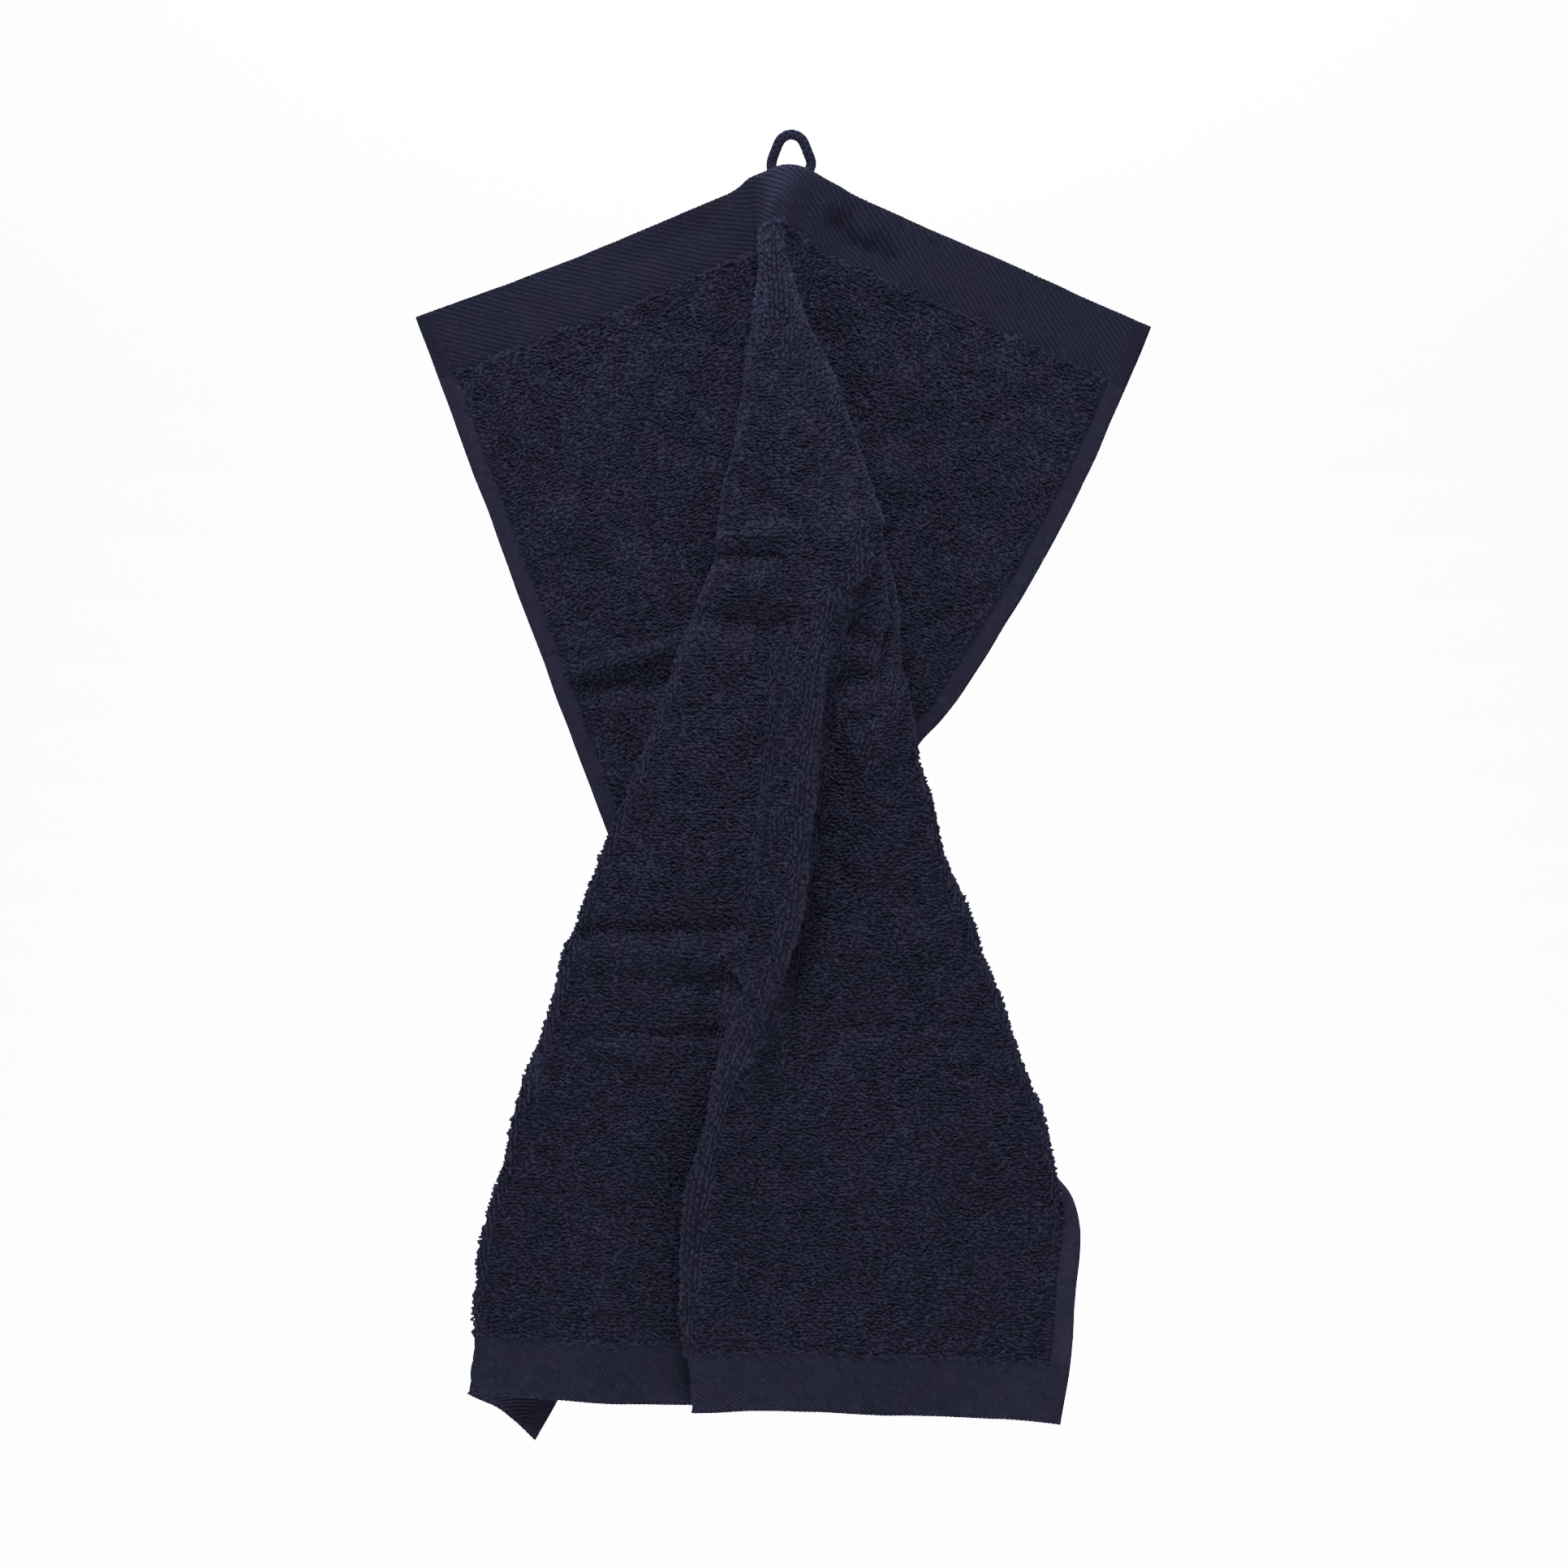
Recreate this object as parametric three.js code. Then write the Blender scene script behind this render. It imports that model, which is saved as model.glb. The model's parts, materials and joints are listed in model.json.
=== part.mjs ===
// A terry hand towel that hangs from the cord loop sewn behind the middle of its top edge.
// Millimetres, +Z up, the front faces -Y. The origin is the inside crown of the loop, where a hook carries it.
// The cloth hangs in two wings at the back, each tucked in behind a front flap that widens downwards.

import * as THREE from "three";

// The cloth laid flat
const TOWEL_WIDTH = 400;
const TOWEL_LENGTH = 600;
const TOP_BAND = 32;
const BOTTOM_BAND = 29;
const SIDE_HEM = 9;

// Thickness of the pile with its ground cloth, of the flat woven bands and of the turned side hems
const PILE_THICKNESS = 3.0;
const BAND_THICKNESS = 1.9;
const HEM_THICKNESS = 1.7;
const PILE_EDGE = 4;

// The hanging loop: a round cord, sewn flat against the back of the top band
const CORD_DIAMETER = 4.8;
const CORD_SIDES = 12;
const CORD_STEPS = 64;
const SEAT_GAP = 0.9;
const LEG_ACROSS = 9.5;
const LEG_SEWN_DOWN = [9, 6.5, 4];
const LOOP_CROWN_HALF = [
  // right, back, up: the free part of the cord's centre line, from the cloth to the crown
  { right: 9.4, back: 1.2, up: -11.5 },
  { right: 7.7, back: 0.3, up: -5.8 },
  { right: 4.5, back: 0, up: 0.5 },
];

// Rows of the cloth's grid, from the top edge down: how many cells each stretch has
const ROW_STRETCHES = [
  { to: TOP_BAND - PILE_EDGE / 2, cells: 2 },
  { to: TOP_BAND + PILE_EDGE / 2, cells: 1 },
  { to: TOWEL_LENGTH - BOTTOM_BAND - PILE_EDGE / 2, cells: 38 },
  { to: TOWEL_LENGTH - BOTTOM_BAND + PILE_EDGE / 2, cells: 1 },
  { to: TOWEL_LENGTH, cells: 2 },
];

// Evening of the weave after the folds are laid
const EVEN_COLUMNS = 0.25;
const ROUNDING_PASSES = 2;
const EVENING_ROUNDS = 160;
const THREAD_PULL = 0.45;
const BIAS_PULL = 0.12;
const BEND_ACROSS = 0.05;
const BEND_DOWN = 0.35;

// The fold lines, left to right. down and across place a section in the flat cloth, from the top edge and from
// the middle. right, back and up are where it hangs. cells is how many grid cells reach to the next line, and
// hold is how firmly the line keeps its place while the weave is evened.
const SECTION_COLUMNS = ["down", "across", "right", "back", "up"];
const FOLD_LINES = [
  {
    name: "left_hem",
    cells: 5,
    hold: 0.25,
    sections: [
      [0, -200, -180.7, 36.5, -80.3],
      [100, -200, -146, 34, -175],
      [200, -200, -111.1, 30, -269],
      [261, -200, -89, 27, -327.3],
      [330, -200, -65.3, 25, -390.8],
      [390, -200, -43.7, 21.8, -448.7],
      [430, -200, -40.5, 17, -478.2],
      [480, -200, -61.5, 11.9, -514.1],
      [540, -200, -93.6, 13, -568.7],
      [600, -200, -121.8, 14, -619],
    ],
  },
  {
    name: "left_wing",
    cells: 6,
    hold: 0.05,
    sections: [
      [0, -105, -95.5, 22, -52.5],
      [100, -127, -79.5, 20, -148],
      [200, -151, -66.5, 19, -251],
      [300, -174, -52, 20, -352],
      [380, -188, -41, 19, -435],
      [430, -190, -50, 17, -470],
      [480, -190, -69, 12, -508],
      [540, -190, -100, 13, -561],
      [600, -190, -129, 14, -611],
    ],
  },
  {
    name: "left_tuck",
    cells: 7,
    hold: 0.08,
    sections: [
      [0, -24.5, -23.5, 0.5, -23.4],
      [30, -24, -9, -2, -47],
      [63, -38, -11.5, -0.5, -85],
      [100, -54, -12, 3, -125],
      [150, -78, -15, 4, -181],
      [200, -99, -18, 5, -235],
      [300, -148, -31, 6, -345],
      [380, -178, -43, 12, -424],
      [430, -180, -59, 14, -463],
      [480, -180, -78, 11, -501],
      [540, -180, -107, 13, -553],
      [600, -180, -138, 14, -603],
    ],
  },
  {
    name: "left_fold",
    cells: 5,
    hold: 0.3,
    sections: [
      [0, -13, -13.3, -3.8, -18.4],
      [30, -12, -12.7, -12, -40.9],
      [63, -20, -14.3, -14, -73.8],
      [100, -27, -19.6, -16, -105.4],
      [150, -41, -28.1, -14.5, -154.9],
      [200, -56, -38.7, -15.8, -205.1],
      [250, -68, -58.6, -14.7, -252.8],
      [300, -80, -77.4, -13.9, -302.8],
      [350, -94, -100, -10.9, -350.8],
      [400, -107, -118, -7.7, -400],
      [450, -119, -131.7, -4, -449.5],
      [500, -133, -145.6, -2.4, -496.2],
      [540, -144, -154.7, -0.5, -535.2],
      [570, -151, -153.8, 0.6, -564.7],
      [600, -158, -154.5, 2, -593.3],
    ],
  },
  {
    name: "left_swell",
    cells: 5,
    hold: 0.05,
    sections: [
      [0, -8, -8.8, -5.2, -15.4],
      [30, -8, -13.3, -16.4, -40.5],
      [63, -12, -15.3, -22.4, -73],
      [100, -14, -17.9, -28.7, -107],
      [150, -24, -25.2, -29, -156],
      [200, -37, -29.5, -32.3, -206],
      [250, -42, -35.2, -28.6, -254.5],
      [300, -46, -41.3, -25.6, -304],
      [350, -54, -54.4, -21.6, -353],
      [400, -62, -70.1, -16.6, -402],
      [450, -72, -83.2, -11.3, -452],
      [500, -82, -93.5, -9.4, -499],
      [550, -92, -98.5, -8.5, -549],
      [600, -98, -96.9, -10, -597.5],
    ],
  },
  {
    name: "left_dip",
    cells: 2,
    hold: 0.15,
    sections: [
      [0, -5, -6.2, -6.4, -13.4],
      [30, -5, -12.8, -20.2, -40],
      [63, -6, -12.9, -27.7, -72.5],
      [100, -5, -11.2, -34.1, -107],
      [150, -10, -12.7, -37.2, -156],
      [200, -15, -9.2, -40.2, -206],
      [250, -13, -5.4, -34.1, -255],
      [300, -12, -9.2, -27.1, -305],
      [350, -15, -14.7, -22.8, -354],
      [400, -20, -31.1, -13.6, -404],
      [450, -17, -32, -8.5, -453],
      [500, -22, -33.5, -4, -502],
      [550, -25, -33.5, -1, -552],
      [600, -18, -21.5, 4.5, -600.3],
    ],
  },
  {
    name: "left_turn",
    cells: 2,
    hold: 0.2,
    sections: [
      [0, -3.5, -4.2, -6.7, -13],
      [30, -3.5, -11.2, -20.4, -39.6],
      [63, -3.5, -10.8, -28.6, -72.2],
      [100, -1.5, -7.8, -35, -107],
      [150, -4.5, -6.5, -39.5, -156],
      [200, -9, -4, -42.3, -206],
      [250, -7, -4.5, -40, -255],
      [300, -5, -8.5, -36, -305],
      [350, -7.5, -14.5, -30, -354.5],
      [400, -10, -27, -22.5, -404],
      [450, -8, -29, -15.5, -453],
      [500, -11, -31, -11.5, -502.5],
      [550, -13, -32, -8.5, -552.5],
      [600, -6, -19.5, -4, -601],
    ],
  },
  {
    name: "ridge_left",
    cells: 4,
    hold: 0.3,
    sections: [
      [0, -2, -2.2, -7.1, -12.6],
      [30, -2, -12.1, -22.6, -39.3],
      [63, -1, -9.3, -30.1, -72],
      [100, 2, -4.5, -36.5, -107],
      [150, 1, -1, -41.4, -156],
      [200, -3, 2, -44.6, -206],
      [250, -1, -1.9, -44.9, -255],
      [300, 2, -6.4, -43.3, -305],
      [350, 0, -10.4, -36.6, -355],
      [400, -2, -25.3, -30.6, -404],
      [450, 5, -39.5, -24.5, -453],
      [500, 5, -49.5, -19, -503],
      [550, 6, -53.5, -14.5, -553],
      [570, 10, -52, -12.5, -573],
      [600, 19, -49, -9.5, -602.5],
    ],
  },
  {
    name: "ridge_right",
    cells: 4,
    hold: 0.3,
    sections: [
      [0, 1.5, 1.3, -6.9, -12.5],
      [30, 1.5, -9.3, -25.2, -39],
      [63, 4, -4.3, -30.1, -72],
      [100, 9, 2.7, -37.4, -107],
      [150, 13, 11.1, -42.7, -156],
      [200, 12, 16.9, -46.9, -206],
      [250, 14, 13.8, -49.4, -255],
      [300, 17, 10.2, -49.3, -305],
      [350, 15, 6, -45.3, -355],
      [400, 13, -8, -40.2, -404],
      [450, 14, -34.4, -33.2, -453],
      [500, 17, -44.3, -28.3, -503],
      [550, 17, -48.5, -21.6, -553],
      [570, 20, -46.2, -19.4, -573],
      [600, 25, -42.1, -16.3, -602],
    ],
  },
  {
    name: "right_dip",
    cells: 4,
    hold: 0.15,
    sections: [
      [0, 5, 4.7, -6.5, -13],
      [30, 5, -6, -21.8, -39.3],
      [63, 9, -0.8, -26.5, -72.5],
      [100, 17, 10.8, -35, -107],
      [150, 26, 23.4, -38.4, -156],
      [200, 29, 33.9, -43.9, -206],
      [250, 36, 17.1, -23.8, -255],
      [300, 46, 8.2, -15.4, -305],
      [350, 47, 4.8, -8, -355],
      [400, 45, -6.5, -4.1, -404],
      [450, 50, -4.7, -9.9, -454],
      [500, 52, -11.3, -15.1, -504],
      [550, 50, -13.3, -15.5, -553],
      [600, 53, -13.8, -14.2, -599.5],
    ],
  },
  {
    name: "right_swell",
    cells: 5,
    hold: 0.05,
    sections: [
      [0, 9.5, 8.7, -5.1, -15.2],
      [30, 9.5, -4, -16.9, -39.9],
      [63, 16, -0.1, -20.2, -73.8],
      [100, 27, 17.1, -28, -106.4],
      [150, 40, 32.9, -28.2, -155.8],
      [200, 50, 45.7, -30.3, -206.3],
      [250, 64, 45.3, -34, -254.4],
      [300, 82, 44.8, -29, -304.3],
      [350, 92, 47.9, -23.2, -354.7],
      [400, 98, 48.8, -21.5, -404.7],
      [450, 112, 56.1, -19, -456],
      [500, 122, 60.3, -17.9, -505.9],
      [550, 120, 54, -16.5, -556.6],
      [600, 123, 56.3, -19, -600.1],
    ],
  },
  {
    name: "right_fold",
    cells: 6,
    hold: 0.3,
    sections: [
      [0, 15, 13.9, -3, -17.8],
      [30, 15, -5.8, -11.8, -42],
      [63, 24, -5.7, -12.4, -74.7],
      [100, 38, 17.5, -17, -106.4],
      [150, 56, 34.2, -12.6, -157.3],
      [200, 72, 46.1, -9.2, -207.4],
      [250, 85, 54.9, -12.6, -256.3],
      [300, 105, 67.3, -13, -307.8],
      [350, 126, 84.3, -9.1, -356.5],
      [400, 150, 102.6, -6.2, -407.7],
      [450, 177, 121.6, -5.6, -458.6],
      [475, 188, 130.6, -3.9, -483.2],
      [497, 193, 133.4, -1.2, -506.6],
      [520, 191.5, 129.4, -0.3, -529.9],
      [600, 191, 118.9, 2, -608.5],
    ],
  },
  {
    name: "right_tuck",
    cells: 5,
    hold: 0.2,
    sections: [
      [0, 28, 25.2, 1, -23.2],
      [30, 28, 6.4, -3, -49.5],
      [63, 42, 2.4, 2.8, -84.6],
      [100, 65, 10.3, 6.7, -122],
      [150, 93, 9.8, 8, -178.6],
      [200, 120, 8.6, 9, -231.3],
      [250, 148, 4, 11, -283],
      [300, 171, 8, 10.5, -328],
      [330, 177, 27, 9, -349],
      [350, 179, 39, 8, -366],
      [400, 181, 76, 7, -411],
      [450, 188, 109, 3.5, -460],
      [475, 194, 124.3, 2.3, -486],
      [497, 195.5, 134.4, -0.6, -506.5],
      [520, 194.5, 130.7, 1, -529.9],
      [600, 194, 122, 3, -609.3],
    ],
  },
  {
    name: "right_wing",
    cells: 4,
    hold: 0.05,
    sections: [
      [0, 105, 93.6, 20.3, -53.3],
      [100, 134, 74.4, 21.1, -148.7],
      [200, 164, 50, 19, -248.3],
      [250, 180, 36.5, 19, -295],
      [300, 191, 26, 16.7, -340.3],
      [330, 192, 36, 14.3, -364],
      [350, 192.5, 47, 12.8, -379.5],
      [400, 193, 78.5, 9.8, -422],
      [450, 195, 108.5, 6.4, -466],
      [475, 197, 123.4, 3.6, -488],
      [497, 197.8, 137.8, -0.1, -506.9],
      [520, 197.8, 132.4, 2.3, -529.9],
      [600, 197.5, 125.2, 4, -610],
    ],
  },
  {
    name: "right_hem",
    cells: 0,
    hold: 0.25,
    sections: [
      [0, 200, 172.5, 38, -84.6],
      [50, 200, 153.7, 36, -131.4],
      [100, 200, 133.2, 34, -177],
      [150, 200, 108.8, 31, -220.5],
      [200, 200, 82.5, 27, -261.7],
      [214, 200, 75, 25.5, -274.9],
      [222, 200, 69.7, 24.2, -280.9],
      [230, 200, 58.3, 24, -282.4],
      [250, 200, 56, 22.5, -300.5],
      [311, 200, 28, 19, -357],
      [330, 200, 39.5, 17.3, -372],
      [360, 200, 57, 14.4, -396],
      [400, 200, 80.3, 10.8, -428.7],
      [450, 200, 109.3, 6.8, -469.4],
      [475, 200, 123.8, 4.4, -489.6],
      [497, 200, 138.6, 1.2, -507.2],
      [540, 200, 135.1, 3, -549.9],
      [570, 200, 135, 4, -580.7],
      [600, 200, 127.6, 4.5, -610.7],
    ],
  },
];

const clothMaterial = new THREE.MeshStandardMaterial({ color: 0x21222f, roughness: 0.95, metalness: 0 });
const cordMaterial = new THREE.MeshStandardMaterial({ color: 0x1d1e2a, roughness: 0.85, metalness: 0 });

// Names the numbers of one section.
function sectionOf(numbers) {
  return Object.fromEntries(SECTION_COLUMNS.map((column, i) => [column, numbers[i]]));
}

// Value of one column at a distance down the cloth: a smooth curve through the sections.
function columnAt(sections, column, down) {
  const last = sections.length - 1;
  const slope = (i) => {
    const a = Math.min(Math.max(i, 0), last - 1);
    return (sections[a + 1][column] - sections[a][column]) / (sections[a + 1].down - sections[a].down);
  };
  let k = 0;
  while (k < last - 1 && down >= sections[k + 1].down) k += 1;
  const before = k > 0 ? sections[k].down - sections[k - 1].down : 0;
  const here = sections[k + 1].down - sections[k].down;
  const after = k < last - 1 ? sections[k + 2].down - sections[k + 1].down : 0;
  const startSlope = before ? (slope(k - 1) * here + slope(k) * before) / (here + before) : slope(k);
  const endSlope = after ? (slope(k) * after + slope(k + 1) * here) / (here + after) : slope(k);
  const t = (down - sections[k].down) / here;
  const a = 2 * t ** 3 - 3 * t ** 2 + 1;
  const b = t ** 3 - 2 * t ** 2 + t;
  const c = t ** 3 - t ** 2;
  return a * sections[k][column] + (1 - a) * sections[k + 1][column] + here * (b * startSlope + c * endSlope);
}

// Distance down of every row of the grid.
function rowDistances() {
  const rows = [0];
  for (const stretch of ROW_STRETCHES) {
    const from = rows.at(-1);
    for (let i = 1; i <= stretch.cells; i += 1) rows.push(from + ((stretch.to - from) * i) / stretch.cells);
  }
  return rows;
}

// One row of the grid before evening: points along the straight stretches between the fold lines.
function layRow(lines, down) {
  const knots = lines.map((line) => ({
    across: columnAt(line.sections, "across", down),
    point: new THREE.Vector3(
      columnAt(line.sections, "right", down),
      columnAt(line.sections, "back", down),
      columnAt(line.sections, "up", down),
    ),
    cells: line.cells,
    hold: line.hold,
  }));
  const total = lines.reduce((sum, line) => sum + line.cells, 0);
  const acrossOf = [];
  const holds = [];
  knots.slice(0, -1).forEach((knot, k) => {
    for (let i = 0; i < knot.cells; i += 1) {
      acrossOf.push(THREE.MathUtils.lerp(knot.across, knots[k + 1].across, i / knot.cells));
      holds.push(THREE.MathUtils.lerp(knot.hold, knots[k + 1].hold, i / knot.cells));
    }
  });
  acrossOf.push(knots.at(-1).across);
  holds.push(knots.at(-1).hold);
  return acrossOf.map((along, i) => {
    const even = (i / total - 0.5) * TOWEL_WIDTH;
    const across = THREE.MathUtils.lerp(along, even, EVEN_COLUMNS);
    let k = 0;
    while (k < knots.length - 2 && across > knots[k + 1].across) k += 1;
    const t = (across - knots[k].across) / (knots[k + 1].across - knots[k].across);
    const point = knots[k].point.clone().lerp(knots[k + 1].point, t);
    return { across, down, hold: holds[i], point };
  });
}

// Rounds the folds: each pass moves every point of a row to the mean of itself and its two neighbours.
function roundRow(row) {
  const means = row.map((node, i) => {
    if (i === 0 || i === row.length - 1) return node.point.clone();
    const sides = row[i - 1].point.clone().add(row[i + 1].point).multiplyScalar(0.25);
    return sides.addScaledVector(node.point, 0.5);
  });
  row.forEach((node, i) => node.point.copy(means[i]));
}

// Brings two points towards their distance in the flat cloth.
function pullThread(a, b, strength) {
  const rest = Math.hypot(a.across - b.across, a.down - b.down);
  const gap = b.point.clone().sub(a.point);
  const length = Math.max(gap.length(), 1e-6);
  gap.multiplyScalar((0.5 * strength * (length - rest)) / length);
  a.point.add(gap);
  b.point.sub(gap);
}

// Moves the middle one of three points towards the line between the outer two.
function straighten(a, b, c, strength) {
  const before = Math.hypot(a.across - b.across, a.down - b.down);
  const after = Math.hypot(c.across - b.across, c.down - b.down);
  const target = a.point.clone().lerp(c.point, before / (before + after));
  b.point.lerp(target, strength);
}

// Evens the weave: threads go back to their own length while the fold lines keep their place.
function evenWeave(grid) {
  const laid = grid.map((row) => row.map((node) => node.point.clone()));
  for (let round = 0; round < EVENING_ROUNDS; round += 1) {
    grid.forEach((row, j) => row.forEach((node, i) => node.point.lerp(laid[j][i], node.hold)));
    grid.forEach((row, j) => {
      for (let i = 0; i < row.length; i += 1) {
        if (i > 0 && i < row.length - 1) straighten(row[i - 1], row[i], row[i + 1], BEND_ACROSS);
        if (j > 0 && j < grid.length - 1) straighten(grid[j - 1][i], row[i], grid[j + 1][i], BEND_DOWN);
      }
    });
    grid.forEach((row, j) => {
      for (let i = 0; i < row.length; i += 1) {
        if (i > 0) pullThread(row[i - 1], row[i], THREAD_PULL);
        if (j > 0) pullThread(grid[j - 1][i], row[i], THREAD_PULL);
        if (i > 0 && j > 0) pullThread(grid[j - 1][i - 1], row[i], BIAS_PULL);
        if (i > 0 && j > 0) pullThread(grid[j - 1][i], row[i - 1], BIAS_PULL);
      }
    });
  }
}

// The middle surface of the hanging cloth, as rows of nodes.
function hangCloth() {
  const lines = FOLD_LINES.map((line) => ({ ...line, sections: line.sections.map(sectionOf) }));
  const grid = rowDistances().map((down) => layRow(lines, down));
  for (let pass = 0; pass < ROUNDING_PASSES; pass += 1) grid.forEach(roundRow);
  evenWeave(grid);
  return grid;
}

// Thickness of the cloth at a place in the flat cloth: bands and hems are thinner than the pile.
function thicknessAt(across, down) {
  const pastBand = Math.min(down - TOP_BAND, TOWEL_LENGTH - BOTTOM_BAND - down);
  const fromSide = TOWEL_WIDTH / 2 - Math.abs(across);
  const pile = THREE.MathUtils.smoothstep(pastBand, -PILE_EDGE / 2, PILE_EDGE / 2);
  const field = THREE.MathUtils.lerp(BAND_THICKNESS, PILE_THICKNESS, pile);
  const inside = THREE.MathUtils.smoothstep(fromSide, SIDE_HEM - PILE_EDGE / 2, SIDE_HEM + PILE_EDGE / 2);
  return THREE.MathUtils.lerp(HEM_THICKNESS, field, inside);
}

// Unit normal of the middle surface at a node, towards the front.
function normalAt(grid, j, i) {
  const left = grid[j][Math.max(i - 1, 0)].point;
  const right = grid[j][Math.min(i + 1, grid[j].length - 1)].point;
  const above = grid[Math.max(j - 1, 0)][i].point;
  const below = grid[Math.min(j + 1, grid.length - 1)][i].point;
  const rightward = right.clone().sub(left);
  const downward = below.clone().sub(above);
  return downward.cross(rightward).normalize();
}

// Closed body of the cloth: the front and back faces are offset from the middle surface and joined at the rim.
function clothGeometry(grid) {
  const rows = grid.length;
  const columns = grid[0].length;
  const positions = [];
  for (const side of [1, -1]) {
    grid.forEach((row, j) => row.forEach((node, i) => {
      const offset = (side * thicknessAt(node.across, node.down)) / 2;
      positions.push(...node.point.clone().addScaledVector(normalAt(grid, j, i), offset).toArray());
    }));
  }
  const front = (j, i) => j * columns + i;
  const back = (j, i) => rows * columns + j * columns + i;
  const faces = [];
  const quad = (a, b, c, d) => faces.push(a, b, c, a, c, d);
  for (let j = 0; j < rows - 1; j += 1) {
    for (let i = 0; i < columns - 1; i += 1) {
      quad(front(j, i), front(j + 1, i), front(j + 1, i + 1), front(j, i + 1));
      quad(back(j, i), back(j, i + 1), back(j + 1, i + 1), back(j + 1, i));
    }
  }
  for (let i = 0; i < columns - 1; i += 1) {
    quad(front(0, i), front(0, i + 1), back(0, i + 1), back(0, i));
    quad(front(rows - 1, i + 1), front(rows - 1, i), back(rows - 1, i), back(rows - 1, i + 1));
  }
  for (let j = 0; j < rows - 1; j += 1) {
    quad(front(j + 1, 0), front(j, 0), back(j, 0), back(j + 1, 0));
    quad(front(j, columns - 1), front(j + 1, columns - 1), back(j + 1, columns - 1), back(j, columns - 1));
  }
  const geometry = new THREE.BufferGeometry();
  geometry.setAttribute("position", new THREE.Float32BufferAttribute(positions, 3));
  geometry.setIndex(faces);
  return geometry;
}

// Where the cord's centre line lies behind the cloth, at a place in the flat cloth.
function behindCloth(grid, across, down) {
  for (let j = 0; j < grid.length - 1; j += 1) {
    for (let i = 0; i < grid[j].length - 1; i += 1) {
      const node = grid[j][i];
      const beside = grid[j][i + 1];
      const under = grid[j + 1][i];
      if (down < node.down || down > under.down || across < node.across || across > beside.across) continue;
      const s = (across - node.across) / (beside.across - node.across);
      const t = (down - node.down) / (under.down - node.down);
      const point = node.point.clone().lerp(beside.point, s).lerp(
        under.point.clone().lerp(grid[j + 1][i + 1].point, s),
        t,
      );
      const backward = normalAt(grid, j, i).multiplyScalar(-1);
      const reach = thicknessAt(across, down) / 2 + SEAT_GAP + CORD_DIAMETER / 2;
      return point.addScaledVector(backward, reach);
    }
  }
  throw new Error("the place lies outside the cloth");
}

// The loop's cord: two legs against the back of the top band, and the free eye above the cloth.
function loopGeometry(grid) {
  const leg = (side) => LEG_SEWN_DOWN.map((down) => behindCloth(grid, side * LEG_ACROSS, down));
  const crown = (side) => LOOP_CROWN_HALF.map((point) => (
    new THREE.Vector3(side * point.right, point.back, point.up)
  ));
  const top = new THREE.Vector3(0, 0, CORD_DIAMETER / 2);
  const path = new THREE.CatmullRomCurve3([
    ...leg(-1),
    ...crown(-1),
    top,
    ...crown(1).reverse(),
    ...leg(1).reverse(),
  ]);
  const section = new THREE.Shape(
    Array.from({ length: CORD_SIDES }, (_, i) => {
      const angle = (2 * Math.PI * i) / CORD_SIDES;
      return new THREE.Vector2(Math.cos(angle), Math.sin(angle)).multiplyScalar(CORD_DIAMETER / 2);
    }),
  );
  return new THREE.ExtrudeGeometry(section, { steps: CORD_STEPS, extrudePath: path });
}

function namedMesh(name, geometry, material) {
  const mesh = new THREE.Mesh(geometry, material);
  mesh.name = name;
  return mesh;
}

const cloth = hangCloth();
const towel = new THREE.Group();
towel.name = "towel";
towel.add(namedMesh("towel_cloth", clothGeometry(cloth), clothMaterial));
towel.add(namedMesh("hanging_loop", loopGeometry(cloth), cordMaterial));

export default towel;
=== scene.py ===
"""A dark terry hand towel that hangs in folds from the cord loop behind its top edge.

Every surface is sampled from one map of the hanging cloth: place as a function of across and down, the two
distances in the flat cloth. The front faces -Y and the loop's inside crown is the origin.
"""

import json
import math

import bpy
import numpy as np
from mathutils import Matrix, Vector

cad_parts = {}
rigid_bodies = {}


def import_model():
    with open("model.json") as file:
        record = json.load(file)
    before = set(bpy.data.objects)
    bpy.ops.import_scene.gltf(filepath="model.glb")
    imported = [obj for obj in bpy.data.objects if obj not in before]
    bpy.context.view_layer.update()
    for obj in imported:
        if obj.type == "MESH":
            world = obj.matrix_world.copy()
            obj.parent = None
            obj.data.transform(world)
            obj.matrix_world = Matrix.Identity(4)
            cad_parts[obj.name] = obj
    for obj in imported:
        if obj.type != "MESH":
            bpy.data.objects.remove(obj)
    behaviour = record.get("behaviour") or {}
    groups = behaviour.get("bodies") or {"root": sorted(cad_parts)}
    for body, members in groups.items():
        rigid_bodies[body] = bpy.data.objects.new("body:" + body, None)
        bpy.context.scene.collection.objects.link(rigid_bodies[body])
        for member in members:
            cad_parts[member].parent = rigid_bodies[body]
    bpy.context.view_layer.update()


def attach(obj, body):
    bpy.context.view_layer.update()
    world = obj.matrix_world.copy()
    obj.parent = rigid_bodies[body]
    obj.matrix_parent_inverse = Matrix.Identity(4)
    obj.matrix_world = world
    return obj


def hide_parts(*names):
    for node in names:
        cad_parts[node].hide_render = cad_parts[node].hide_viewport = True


bl_info = {
    "name": "Terry hand towel",
    "version": (1, 0, 0),
    "blender": (4, 5, 0),
    "location": "3D View > Sidebar > Towel",
    "description": "Builds a hanging terry towel with its pile, woven bands, hems and cord loop",
    "category": "Mesh",
}

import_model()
CLOTH_NODE = "towel_cloth"
LOOP_NODE = "hanging_loop"
FLAT_UV = "flat_cloth"
MM = 0.001
TINY = 1e-9

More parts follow.
